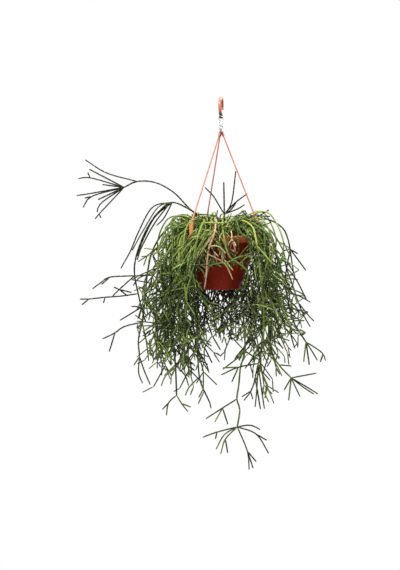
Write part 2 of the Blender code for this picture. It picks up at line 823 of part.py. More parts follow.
def make_soil(parts, material, roots):
    """The soil fills the pot to below the rim, and has a plain hole for each stem."""
    side = [(radius - GAP, z) for radius, z in inner_profile() if z < SOIL_Z - MM]
    floor_z = side[-1][1] + GAP
    top = [(0, SOIL_Z), (LIP_INNER - GAP, SOIL_Z)]
    profile = top + side[:-1] + [(side[-1][0], floor_z), (0, floor_z)]
    soil = turned("soil", profile, POT_STEPS, parts)
    soil.data.transform(Matrix.Translation((*POT_CENTRE, 0)))
    cutters = new_collection("root_cutters")
    for root in roots:
        foot = Vector((root[0], root[1], SOIL_Z - ROOT_DEEP - GAP))
        rod("hole", foot, foot + Vector((0, 0, 2 * ROOT_DEEP)), HOLE_RADIUS, cutters, sides=5)
    combine(soil, "DIFFERENCE", cutters)
    return finish(soil, "soil", material, smooth_angle=30)


# Growth of the stems


def run_gaps(start, end, starts, ends):
    """The distance from one straight run to each of many others."""
    along, others = end - start, ends - starts
    between = start - starts
    aa = float(along @ along)
    bb = np.einsum("ij,ij->i", others, others)
    ab = others @ along
    ac = between @ along
    bc = np.einsum("ij,ij->i", others, between)
    spread = np.maximum(aa * bb - ab * ab, 1e-18)
    s = np.clip((ab * bc - ac * bb) / spread, 0, 1)
    t = np.clip((ab * s + bc) / bb, 0, 1)
    s = np.clip((ab * t - ac) / aa, 0, 1)
    nearest = between + s[:, None] * along - t[:, None] * others
    return np.sqrt(np.einsum("ij,ij->i", nearest, nearest))


class Room:
    """Knows every run placed so far, and says whether a new one stays clear of them and of the pot."""

    def __init__(self):
        self.starts = np.empty((0, 3))
        self.ends = np.empty((0, 3))
        self.radii = np.empty(0)
        self.owners = []
        outside = outer_profile()[::-1]
        self.pot_z = np.array([z for _, z in outside])
        self.pot_radius = np.array([radius for radius, _ in outside])
        self.add_hanger()

    def add_hanger(self):
        for azimuth in STRAND_AZIMUTHS.values():
            upper, lower = strand_line(azimuth)
            self.add([upper, lower], STRAND_RADIUS, "hanger")
            outward = turned_about(math.radians(azimuth)) * (LIP_RADIUS - MM)
            clip = [pot_axis(CLIP_TOP) + outward, pot_axis(RIM_Z - LIP_TALL - 3 * MM) + outward]
            self.add(clip, CLIP_WIDE / 2 + 1.5 * MM, "hanger")

    def add(self, points, radius, owner):
        points = np.array([tuple(point) for point in points])
        self.starts = np.vstack([self.starts, points[:-1]])
        self.ends = np.vstack([self.ends, points[1:]])
        self.radii = np.append(self.radii, np.full(len(points) - 1, radius))
        self.owners += [owner] * (len(points) - 1)

    def clear_of_pot(self, points, radius):
        """Samples the runs against the pot's wall, its soil and the space under its foot."""
        clear = radius + STEM_CLEAR
        for start, end in zip(points[:-1], points[1:]):
            count = max(2, int(np.linalg.norm(end - start) / (2 * MM)))
            path = start + np.linspace(0, 1, count)[:, None] * (end - start)
            reach = np.hypot(path[:, 0] - POT_CENTRE[0], path[:, 1] - POT_CENTRE[1])
            z = path[:, 2]
            outer = np.interp(z, self.pot_z, self.pot_radius)
            outside = (reach > outer + clear) | (z < self.pot_z[0] - UNDER_POT - clear)
            inside = (reach < LIP_INNER - clear) & (z > SOIL_Z + clear)
            above = z > RIM_Z + clear
            if not (outside | inside | above).all():
                return False
        return True

    def is_clear(self, points, radius, owner):
        points = np.array([tuple(point) for point in points])
        if not self.clear_of_pot(points, radius):
            return False
        others = np.array([name != owner for name in self.owners])
        starts, ends, radii = self.starts[others], self.ends[others], self.radii[others]
        for start, end in zip(points[:-1], points[1:]):
            if (run_gaps(start, end, starts, ends) < radii + radius + STEM_CLEAR).any():
                return False
        return True


class Grower:
    """Grows the sprays one after another, each clear of those before it."""

    def __init__(self):
        self.room = Room()
        self.sprays = {}
        self.roots = []
        self.chance = np.random.default_rng(SEED)

    def start(self, name, root):
        """Claims a root and its upright run, so that later sprays keep off it."""
        self.sprays[name] = []
        self.roots.append(root)
        foot = np.array([root[0], root[1], SOIL_Z - ROOT_DEEP])
        rise = np.array([root[0], root[1], SOIL_Z + ROOT_RISE])
        self.room.add([foot, rise], HOLE_RADIUS, name)
        return [foot, rise]

    def keep_stem(self, name, points):
        radii = np.linspace(STEM_RADIUS, STEM_END, len(points))
        self.sprays[name].append(Branch(np.array(points), radii))
        self.room.add(points, STEM_RADIUS, name)

    def keep_twig(self, name, points):
        """A twig starts narrow, sunk in its parent, and is at its thickest from its first point on."""
        way = (points[1] - points[0]) / np.linalg.norm(points[1] - points[0])
        line = [points[0] - way * TWIG_SUNK] + list(points[1:])
        radii = [TWIG_BASE] + [TWIG_RADIUS] * (len(line) - 1)
        self.sprays[name].append(Branch(np.array(line), radii))
        self.room.add(points, TWIG_RADIUS, name)

    # Sprays drawn by hand

    def grow_guide(self, guide):
        name = guide.name
        low = self.start(name, np.array(guide.root) * MM)
        stem = [np.array([x, y, z - y * VIEW_SLOPE]) * MM for x, y, z in guide.stem]
        route = self.shifted(stem, low, name)
        self.keep_stem(name, low + route)
        for number, branch in enumerate(guide.twigs):
            self.grow_twig(name, branch, route, number)

    def shifted(self, stem, low, name):
        """The stem, moved a little in depth until it is clear."""
        for shift in DEPTH_SHIFTS:
            for side in SIDE_SHIFTS:
                ramp = np.linspace(0.2, 1, len(stem))
                moved = [point + np.array([side, shift, 0]) * MM * part for point, part in zip(stem, ramp)]
                if self.room.is_clear([low[-1]] + moved, STEM_RADIUS, name):
                    return moved
        raise ValueError(f"{name} finds no clear way for its stem")

    def grow_twig(self, name, branch, parent, number):
        """A twig through its guide points, leaning forward or back until it is clear."""
        start = parent[branch.at]
        sign = 1 if number % 2 else -1
        for lean in TWIG_TRIES:
            points = self.leaning(start, branch.path, (lean + LEAN_LEAST) * sign)
            if self.room.is_clear(points, TWIG_RADIUS, name):
                self.keep_twig(name, points)
                for order, fork in enumerate(branch.forks):
                    self.grow_twig(name, fork, points[1:], number + order + 1)
                return

    def leaning(self, start, path, lean):
        points = [start]
        seen_start = start[2] + start[1] * VIEW_SLOPE
        for across, height in path:
            far = math.hypot(across * MM - start[0], height * MM - seen_start)
            depth = start[1] + lean * far * LEAN_DEPTH
            points.append(np.array([across * MM, depth, height * MM - depth * VIEW_SLOPE]))
        return points

    # Sprays that follow the rule

    def grow_trailing(self, name, azimuth, root_radius, crest, hang):
        """A stem that rises, arches over the rim and hangs, with forked twigs all the way down."""
        best = None
        for slip in ROUTE_SLIPS:
            root = self.free_root(azimuth + slip, root_radius)
            rise = np.array([root[0], root[1], SOIL_Z + ROOT_RISE])
            route, whole = self.trailing_route(name, rise, azimuth + slip, root_radius, crest, hang)
            if best is None or len(route) > len(best[1]):
                best = root, route
            if whole:
                break
        root, route = best
        low = self.start(name, root)
        self.keep_stem(name, low + route)
        for number in range(3, len(route) - 1):
            self.grow_whorl(name, route, number, 1 + number // 4 % 2)
        self.grow_whorl(name, route, len(route) - 1, 3)

    def free_root(self, azimuth, radius):
        """The nearest place to the wanted root that is far enough from every other root."""
        choices = []
        for turn in range(-24, 25, 4):
            for inward in range(0, 25, 4):
                angle = math.radians(azimuth + turn)
                out = radius - inward * MM
                place = np.array([POT_CENTRE[0] + out * math.cos(angle), out * math.sin(angle)])
                if all(np.hypot(*(place - other)) > 2.3 * HOLE_RADIUS for other in self.roots):
                    choices.append((abs(turn) + inward, place))
        return min(choices, key=lambda choice: choice[0])[1]

    def trailing_route(self, name, rise, azimuth, root_radius, crest, hang):
        """Each point is drawn again until the run to it is clear."""
        over = max(root_radius + 8 * MM, 60 * MM)
        plan = [
            (root_radius + 3 * MM, RIM_Z + 5 * MM),
            (over, RIM_Z + crest),
            ((over + 2 * hang) / 3, RIM_Z + crest - 3 * MM),
            (hang, RIM_Z - 14 * MM),
        ]
        across = hang / MM * math.cos(math.radians(azimuth))
        lowest = np.interp(across, CURTAIN_X, CURTAIN_Z) * MM + self.chance.uniform(*CURTAIN_SPREAD)
        route, turn, step = [], azimuth, 0
        while True:
            if step < len(plan):
                reach, z = plan[step]
            else:
                reach, z = hang, route[-1][2] - STEP_DOWN
            if z < lowest:
                return route, True
            found = self.next_point(name, route[-1] if route else rise, turn, reach, z, step)
            if found is None:
                return route, False
            point, turn = found
            route.append(point)
            step += 1

    def next_point(self, name, last, turn, reach, z, step):
        """A point near the planned one, drawn again and more widely until the run to it is clear."""
        for attempt in range(ROUTE_TRIES):
            wide = min(1, 0.6 + attempt / ROUTE_TRIES) * (0.3 if step < 2 else 1)
            new_turn = turn + self.chance.normal(0, TURN_SPREAD) * wide
            out = reach + self.chance.normal(0, REACH_SPREAD) * wide
            new_z = z + self.chance.uniform(-DROP_SPREAD, DROP_SPREAD) * wide
            angle = math.radians(new_turn)
            point = np.array([POT_CENTRE[0] + out * math.cos(angle), out * math.sin(angle), new_z])
            if self.room.is_clear([last, point], STEM_RADIUS, name):
                return point, new_turn
        return None

    def grow_whorl(self, name, route, number, count):
        """Twigs spread round one point of the stem, most of them forked at the end."""
        start = route[number]
        ahead = start - route[number - 1]
        first = self.chance.uniform(0, 360)
        for order in range(count):
            length = self.chance.uniform(*TWIG_LONG)
            tip = self.grow_free_twig(name, start, ahead, length, first + order * 360 / count)
            if tip is None:
                continue
            side = self.chance.uniform(0, 360)
            for turn in (0, 180)[: int(self.chance.choice(3, p=FORKED))]:
                self.grow_free_twig(name, tip, tip - start, self.chance.uniform(*FORK_LONG), side + turn)

    def grow_free_twig(self, name, start, ahead, length, side):
        """One straight twig that leaves on about this side and leans down and outward. Returns its tip."""
        ahead = ahead / np.linalg.norm(ahead)
        across = np.cross(ahead, (0, 1, 0.3))
        across = across / np.linalg.norm(across)
        upward = np.cross(ahead, across)
        outward = start - np.array([POT_CENTRE[0], POT_CENTRE[1], start[2]])
        outward = outward / max(np.linalg.norm(outward), MM)
        lean = outward * TWIG_OUTWARD - np.array([0, 0, TWIG_DOWNWARD])
        for attempt in range(FREE_TRIES):
            angle = math.radians(self.chance.uniform(*TWIG_ANGLE))
            turn = math.radians(side + self.chance.normal(0, 12 + 3 * attempt))
            sideways = across * math.cos(turn) + upward * math.sin(turn)
            way = ahead * math.cos(angle) + sideways * math.sin(angle) + lean
            tip = start + way / np.linalg.norm(way) * length
            if self.room.is_clear([start, tip], TWIG_RADIUS, name):
                self.keep_twig(name, [start, tip])
                return tip
        return None


def grow_all():
    """Every spray: first those drawn by hand, then the curtain round the pot."""
    grower = Grower()
    for guide in GUIDES:
        grower.grow_guide(guide)
    span = LAST_AZIMUTH - FIRST_AZIMUTH
    number = 0
    for count, low_radius, high_radius, crest, hang in (
        (OUTER_COUNT, 40 * MM, 52 * MM, (12, 19), (74, 92)),
        (INNER_COUNT, 18 * MM, 36 * MM, (26, 34), (90, 108)),
    ):
        for place in range(count):
            number += 1
            azimuth = FIRST_AZIMUTH + span * (place + 0.5) / count + grower.chance.uniform(-3, 3)
            root_radius = grower.chance.uniform(low_radius, high_radius)
            rise = grower.chance.uniform(*crest) * MM
            out = grower.chance.uniform(*hang) * MM
            grower.grow_trailing(f"spray_trailing_{number:02d}", azimuth, root_radius, rise, out)
    return grower


def twig_section(collection):
    """The stems' three-sided cross-section, at a radius of one."""
    corners = [(math.cos(math.tau * k / 3), math.sin(math.tau * k / 3), 0) for k in range(3)]
    return add_object("twig_section", poly_curve("twig_section", corners, cyclic=True), collection)


def branch_object(name, branch, section, collection):
    curve = poly_curve(name, branch.points, branch.radii)
    curve.bevel_mode = "OBJECT"
    curve.bevel_object = section
    return add_object(name, curve, collection)


def make_spray(name, branches, section, parts, material):
    """Joins one spray's branches with a Boolean union."""
    helpers = new_collection("branches")
    guides = [branch_object(name, branch, section, helpers) for branch in branches]
    bpy.context.view_layer.update()
    graph = bpy.context.evaluated_depsgraph_get()
    meshes = [bpy.data.meshes.new_from_object(guide.evaluated_get(graph)) for guide in guides]
    for guide in guides:
        bpy.data.objects.remove(guide, do_unlink=True)
    for mesh in meshes:
        weld(mesh)
    spray = add_object(name, meshes[0], parts)
    for mesh in meshes[1:]:
        add_object("branch", mesh, helpers)
    combine(spray, "UNION", helpers)
    keep_main_body(spray)
    lighten(spray)
    return finish(spray, name, material, smooth_angle=50)


def main():
    clear_scene()
    parts = new_collection("potted_rhipsalis")
    materials = make_materials()
    make_hook(parts, materials["hook_plastic"])
    make_swivel_eye(parts, materials["steel"])
    make_swivel_barrel(parts, materials["steel"])
    make_hub(parts, materials["hook_plastic"])
    for name, azimuth in STRAND_AZIMUTHS.items():
        make_strand(name, azimuth, parts, materials["hook_plastic"])
    make_pot(parts, materials["pot_plastic"])
    grower = grow_all()
    make_soil(parts, materials["soil"], grower.roots)
    helpers = new_collection("sections")
    section = twig_section(helpers)
    for name, branches in grower.sprays.items():
        make_spray(name, branches, section, parts, materials["stem"])
    bpy.data.objects.remove(section, do_unlink=True)
    bpy.data.collections.remove(helpers)


if __name__ == "__main__":
    main()
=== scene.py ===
"""Looks of a rhipsalis in a hanging pot: hook, swivel, hub, strands, pot, soil and a mass of leafless stems.

Metres, +Z up, -Y is the front. The origin is where the hook bears, at the top of its inner curve.
"""

import json
import logging
import math
from collections import namedtuple
from dataclasses import dataclass, field
from enum import Enum
from typing import Any, Callable, Iterable, Mapping, Optional, Sequence

import bmesh
import bpy
import numpy as np
from bmesh.types import BMEdge, BMesh, BMVert
from bpy.types import Material, Mesh, NodeSocket, Object
from mathutils import Matrix, Vector, noise

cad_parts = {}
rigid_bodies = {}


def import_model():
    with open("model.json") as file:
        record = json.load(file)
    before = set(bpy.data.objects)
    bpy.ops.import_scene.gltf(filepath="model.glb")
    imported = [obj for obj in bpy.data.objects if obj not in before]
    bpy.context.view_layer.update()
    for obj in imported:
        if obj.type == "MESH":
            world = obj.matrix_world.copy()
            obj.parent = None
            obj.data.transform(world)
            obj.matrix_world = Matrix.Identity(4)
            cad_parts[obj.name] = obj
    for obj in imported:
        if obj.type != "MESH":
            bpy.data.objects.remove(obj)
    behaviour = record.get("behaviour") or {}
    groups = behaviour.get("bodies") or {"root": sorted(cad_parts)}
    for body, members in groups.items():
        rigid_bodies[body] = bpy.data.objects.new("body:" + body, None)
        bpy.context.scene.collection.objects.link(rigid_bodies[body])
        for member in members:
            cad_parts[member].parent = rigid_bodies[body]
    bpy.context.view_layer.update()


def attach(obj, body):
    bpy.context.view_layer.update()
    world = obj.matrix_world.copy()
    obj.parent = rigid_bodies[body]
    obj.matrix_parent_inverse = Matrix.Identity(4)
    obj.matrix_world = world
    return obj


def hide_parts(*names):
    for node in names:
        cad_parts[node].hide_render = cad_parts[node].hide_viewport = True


LOG = logging.getLogger("rhipsalis")
MM = 0.001
GAP = 0.3 * MM
PLANT_BODY = "pot_and_plant"
HOOK_BODY = "hook"

# The pot's shape, which the pot, the soil, the clips and the stems all need
POT_CENTRE = (-4 * MM, 0.0)
RIM_Z = -224 * MM
WALL = 2 * MM
LIP_TALL = 12 * MM
LIP_RADIUS = 65 * MM
LIP_INNER = 59.5 * MM
LIP_EDGE = 1.2 * MM
MOUTH_EDGE = 0.8 * MM
BODY_MM = ((61.5, 12), (58.5, 28), (50.5, 55), (37.5, 89), (34.5, 92))
POT_TALL = 92 * MM
SOIL_Z = RIM_Z - 12 * MM

# The hook's inner curve and the way it faces
HOOK_INNER = 10 * MM
HOOK_TURN = math.radians(80)

# The strands' shape, which the hub and the stems need too
STRAND_RADIUS = 1.15 * MM
STRAND_AZIMUTHS = {"strand_right": -13, "strand_back": 107, "strand_left": 227}
CLIP_TOP = -199 * MM
CLIP_WIDE = 8 * MM
CLIP_THICK = 2.2 * MM
CLAW_THICK = 2.2 * MM
TAB_INSET = 3 * MM
STRAND_SUNK = 5 * MM
SOCKET_TOP = -56 * MM
SOCKET_OFFSET = 2.3 * MM
SLEEVE_END = -61 * MM

Array = np.ndarray
Pair = tuple[float, float]
Place = tuple[float, float, float]
Colour = Place
Row = tuple[float, ...]
Twig = namedtuple("Twig", "at path forks")
Guide = namedtuple("Guide", "name root stem twigs")


class Slot(Enum):
    """The record's material slots."""

    HANGER = "hanger_plastic"
    STEEL = "steel"
    POT = "pot_plastic"
    SOIL = "soil"
    STEM = "stem"


class Kind(Enum):
    """What a branch is, which sets how it is tapered."""

    STEM = "stem"
    TWIG = "twig"


# Small helpers


def turned_about(azimuth: float) -> Vector:
    """The unit vector that points this way round, level."""
    return Vector((math.cos(azimuth), math.sin(azimuth), 0))


def pot_axis(z: float) -> Vector:
    """The point of the pot's own axis at this height."""
    return Vector((*POT_CENTRE, z))


def upright(z: float) -> Vector:
    """The point of the swivel's axis at this height."""
    return Vector((0, 0, z))


def round_pot(azimuth: float, reach: float, z: float) -> Array:
    """A place this many degrees round the pot's axis and this far from it."""
    angle = math.radians(azimuth)
    return np.array([POT_CENTRE[0] + reach * math.cos(angle), reach * math.sin(angle), z])


def outer_profile() -> list[Pair]:
    """The pot's outside, from the rim down.

    Returns:
        (radius, height) pairs in metres.
    """
    lip = [
        (LIP_RADIUS - LIP_EDGE, RIM_Z),
        (LIP_RADIUS, RIM_Z - LIP_EDGE),
        (LIP_RADIUS, RIM_Z - LIP_TALL + MOUTH_EDGE),
        (LIP_RADIUS - MOUTH_EDGE, RIM_Z - LIP_TALL),
    ]
    return lip + [(radius * MM, RIM_Z - drop * MM) for radius, drop in BODY_MM]


def strand_line(azimuth: float) -> tuple[Vector, Vector]:
    """Where a strand starts in its socket and where it ends inside its clip.

    Args:
        azimuth: the strand's place round the pot, in degrees.

    Returns:
        The upper and the lower end.
    """
    outward = turned_about(math.radians(azimuth))
    lower = pot_axis(CLIP_TOP - STRAND_SUNK) + outward * (LIP_RADIUS + GAP + CLIP_THICK / 2)
    level = Vector((lower.x, lower.y, 0)).normalized()
    return level * SOCKET_OFFSET + upright(SOCKET_TOP), lower


def along_strand(azimuth: float, z: float) -> Vector:
    """The point of a strand's line at this height."""
    upper, lower = strand_line(azimuth)
    return upper.lerp(lower, (z - upper.z) / (lower.z - upper.z))


# Materials


class NodeWeb:
    """The nodes of a material or of the world, with short ways to add and join them."""

    def __init__(self, owner: Any, shader: str = "Principled BSDF") -> None:
        """Starts from the shader that Blender itself puts in."""
        self.owner = owner
        owner.use_nodes = True
        self.tree = owner.node_tree
        self.shader = self.tree.nodes[shader]

    def feed(self, socket: NodeSocket, value: Any) -> None:
        """Joins a socket to another one, or sets it."""
        if isinstance(value, NodeSocket):
            self.tree.links.new(value, socket)
        else:
            socket.default_value = value

    def add(self, kind: str, inputs: Mapping[Any, Any], **settings: Any) -> bpy.types.Node:
        """Adds a node.

        Args:
            kind: the node's type name.
            inputs: values or sockets by input name or number.
            settings: the node's own properties.

        Returns:
            The node.
        """
        node = self.tree.nodes.new(kind)
        for key, value in settings.items():
            setattr(node, key, value)
        for key, value in inputs.items():
            self.feed(node.inputs[key], value)
        return node

    def place(self) -> NodeSocket:
        """The surface's place in the object's own metres."""
        return self.add("ShaderNodeTexCoord", {}).outputs["Object"]

    def axis(self, vector: NodeSocket, name: str) -> NodeSocket:
        """One coordinate of a vector."""
        return self.add("ShaderNodeSeparateXYZ", {0: vector}).outputs[name]

    def noise(self, scale: float, detail: float = 3.0, vector: Any = None) -> NodeSocket:
        """Cloudy noise from 0 to 1, with this many lumps to the metre."""
        start = self.place() if vector is None else vector
        inputs = {"Vector": start, "Scale": scale, "Detail": detail}
        return self.add("ShaderNodeTexNoise", inputs).outputs["Fac"]

    def spread(self, value: Any, low: float, high: float, to: Pair = (0, 1)) -> Any:
        """Maps low to high onto another range, and no further."""
        inputs = {"Value": value, "From Min": low, "From Max": high, "To Min": to[0], "To Max": to[1]}
        return self.add("ShaderNodeMapRange", inputs).outputs["Result"]

    def math(self, operation: str, first: Any, second: Any = 0.0) -> NodeSocket:
        """One sum on two values."""
        return self.add("ShaderNodeMath", {0: first, 1: second}, operation=operation).outputs[0]

    def vector(self, operation: str, first: Any, second: Any = (0, 0, 0)) -> bpy.types.bpy_prop_collection:
        """The outputs of one sum on two vectors."""
        return self.add("ShaderNodeVectorMath", {0: first, 1: second}, operation=operation).outputs

    def from_axis(self) -> NodeSocket:
        """How far the surface is from the swivel's axis."""
        return self.vector("LENGTH", self.vector("MULTIPLY", self.place(), (1, 1, 0))[0])["Value"]

    def times(self, first: Any, second: Any) -> NodeSocket:
        """The product of two values."""
        return self.math("MULTIPLY", first, second)

    def mix(self, factor: Any, first: Any, second: Any) -> NodeSocket:
        """Blends two colours."""
        colours = [(*c, 1) if isinstance(c, tuple) else c for c in (first, second)]
        inputs = {0: factor, 6: colours[0], 7: colours[1]}
        return self.add("ShaderNodeMix", inputs, data_type="RGBA").outputs[2]

    def attribute(self, name: str) -> NodeSocket:
        """A number kept on the mesh."""
        return self.add("ShaderNodeAttribute", {}, attribute_name=name).outputs["Fac"]

    def bump(self, height: Any, deep: float, strength: float = 1.0) -> None:
        """Raises the surface by up to this depth in metres."""
        inputs = {"Height": height, "Distance": deep, "Strength": strength}
        self.feed(self.shader.inputs["Normal"], self.add("ShaderNodeBump", inputs).outputs["Normal"])

    def surface(self, colour: Any, roughness: Any) -> None:
        """Sets what every finish has."""
        self.feed(self.shader.inputs["Base Color"], (*colour, 1) if isinstance(colour, tuple) else colour)
        self.feed(self.shader.inputs["Roughness"], roughness)


@dataclass(frozen=True)
class HangerPlastic:
    """Moulded terracotta plastic, a little paler where it has been handled and darker low on the shank, with
    painted shade where the strands gather under the hub and inside the hook's tip.
    """

    name: str = "hanger_terracotta"
    colour: Colour = (0.39, 0.13, 0.075)
    pale: Colour = (0.49, 0.20, 0.13)
    # The darkest colour: the darker foot of the shank, and painted shade
    dark_and_shade: Colour = (0.09, 0.025, 0.012)
    # The clips are more orange than the strands
    clip_orange: Colour = (0.50, 0.19, 0.05)
    clip_below: float = -196 * MM
    clip_blend: float = 4 * MM
    # The darker foot of the shank, and painted shade on the ends of the strands where they gather under the
    # hub
    stain: Pair = (-19 * MM, -24 * MM)
    above_hub: Pair = (-50 * MM, -48 * MM)
    gather_low: Pair = (-66 * MM, -60 * MM)
    gather_top: Pair = (-50 * MM, -52 * MM)
    gather_out: Pair = (5 * MM, 3.2 * MM)

    def material(self) -> Material:
        """The finish as a material."""
        web = NodeWeb(bpy.data.materials.new(self.name))
        cloud = web.noise(140, 4)
        height = web.axis(web.place(), "Z")
        base = web.mix(web.spread(cloud, 0.35, 0.7), self.colour, self.pale)
        clips = web.spread(height, self.clip_below, self.clip_below - self.clip_blend, (0, 0.8))
        base = web.mix(clips, base, self.clip_orange)
        ragged = web.math("ADD", height, web.spread(web.noise(400), 0.3, 0.7, (-2 * MM, 2 * MM)))
        dark_foot_and_shade = web.times(web.spread(ragged, *self.stain), web.spread(height, *self.above_hub))
        # Painted shade on the ends of the strands where they bunch together under the hub
        gather_shade = web.times(web.spread(height, *self.gather_low), web.spread(height, *self.gather_top))
        gather_shade = web.times(gather_shade, web.spread(web.from_axis(), *self.gather_out, (0.25, 0.9)))
        dark_foot_and_shade = web.math("ADD", dark_foot_and_shade, gather_shade)
        # Painted shade on the inner face of the hook's tip
        dark_foot_and_shade = web.math("MAXIMUM", dark_foot_and_shade, self.hook_inner_shade(web))
        web.surface(web.mix(dark_foot_and_shade, base, self.dark_and_shade), web.spread(cloud, 0.3, 0.7, (0.3, 0.46)))
        web.bump(web.noise(2200, 2), 0.05 * MM, 0.5)
        return web.owner

    def hook_inner_shade(self, web: NodeWeb) -> NodeSocket:
        """Painted shade on the inner face of the hook's tip, as a share of the darkest colour."""
        from_centre = web.vector("ADD", web.place(), (0, 0, HOOK_INNER))[0]
        ahead = web.vector("DOT_PRODUCT", from_centre, turned_about(HOOK_TURN))["Value"]
        far = web.vector("LENGTH", from_centre)["Value"]
        inner = web.spread(far, HOOK_INNER + 1.2 * MM, HOOK_INNER + 0.5 * MM, (0, 0.8))
        return web.times(inner, web.spread(ahead, 2 * MM, 5 * MM))


@dataclass(frozen=True)
class SwivelSteel:
    """Bright plated wire with fine drawing marks."""

    name: str = "swivel_steel"
    colour: Colour = (0.83, 0.83, 0.86)
    dull: Colour = (0.52, 0.51, 0.52)

    def material(self) -> Material:
        """The finish as a material."""
        web = NodeWeb(bpy.data.materials.new(self.name))
        cloud = web.noise(500, 4)
        web.surface(web.mix(web.spread(cloud, 0.5, 0.8), self.colour, self.dull),
                    web.spread(cloud, 0.3, 0.8, (0.14, 0.32)))
        web.shader.inputs["Metallic"].default_value = 1.0
        web.bump(web.noise(3500, 2), 0.02 * MM, 0.4)
        return web.owner


@dataclass(frozen=True)
class PotPlastic:
    """Glossy brick-red plastic, with painted light that makes the lip paler and more orange, and faint
    moulding rings and water marks.
    """

    name: str = "pot_red"
    body: Colour = (0.185, 0.011, 0.001)
    shade: Colour = (0.12, 0.007, 0.001)
    # Paler and more orange than the body: painted light where light falls on the lip
    lip: Colour = (0.32, 0.075, 0.021)
    chalk: Colour = (0.62, 0.40, 0.30)
    lip_foot: float = RIM_Z - LIP_TALL
    gloss: float = 0.08

    def material(self) -> Material:
        """The finish as a material."""
        web = NodeWeb(bpy.data.materials.new(self.name))
        place = web.place()
        height = web.axis(place, "Z")
        cloud = web.noise(45, 5)
        body = web.mix(web.spread(cloud, 0.3, 0.75), self.body, self.shade)
        # Painted light: the lip is paler and more orange than the body
        lip_light = web.spread(height, self.lip_foot - 0.4 * MM, self.lip_foot + 0.4 * MM)
        base = web.mix(lip_light, body, self.lip)
        runs = web.add("ShaderNodeMapping", {"Vector": place, "Scale": (1, 1, 0.12)}).outputs[0]
        marks = web.spread(web.noise(260, 5, runs), 0.62, 0.85, (0, 0.2))
        rings = web.add("ShaderNodeTexWave", {"Vector": place, "Scale": 130.0, "Distortion": 0.4},
                        bands_direction="Z").outputs["Fac"]
        web.surface(web.mix(marks, base, self.chalk), web.spread(cloud, 0.3, 0.8, (0.26, 0.42)))
        web.shader.inputs["Specular IOR Level"].default_value = self.gloss
        web.bump(web.math("ADD", rings, web.noise(1500, 2)), 0.04 * MM, 0.5)
        return web.owner


@dataclass(frozen=True)
class PeatSoil:
    """Dark damp peat."""

    name: str = "peat"
    dark: Colour = (0.018, 0.011, 0.007)
    brown: Colour = (0.075, 0.045, 0.026)

    def material(self) -> Material:
        """The finish as a material."""
        web = NodeWeb(bpy.data.materials.new(self.name))
        crumb = web.noise(420, 8)
        web.surface(web.mix(web.spread(crumb, 0.35, 0.7), self.dark, self.brown), 0.95)
        web.bump(web.math("ADD", crumb, web.noise(1300, 4)), 0.8 * MM)
        return web.owner


@dataclass(frozen=True)
class Perlite:
    """Chalky grains."""

    name: str = "perlite"
    white: Colour = (0.62, 0.60, 0.55)
    grey: Colour = (0.30, 0.28, 0.24)

    def material(self) -> Material:
        """The finish as a material."""
        web = NodeWeb(bpy.data.materials.new(self.name))
        pits = web.noise(900, 5)
        web.surface(web.mix(web.spread(pits, 0.35, 0.7), self.white, self.grey), 0.9)
        web.bump(pits, 0.3 * MM)
        return web.owner


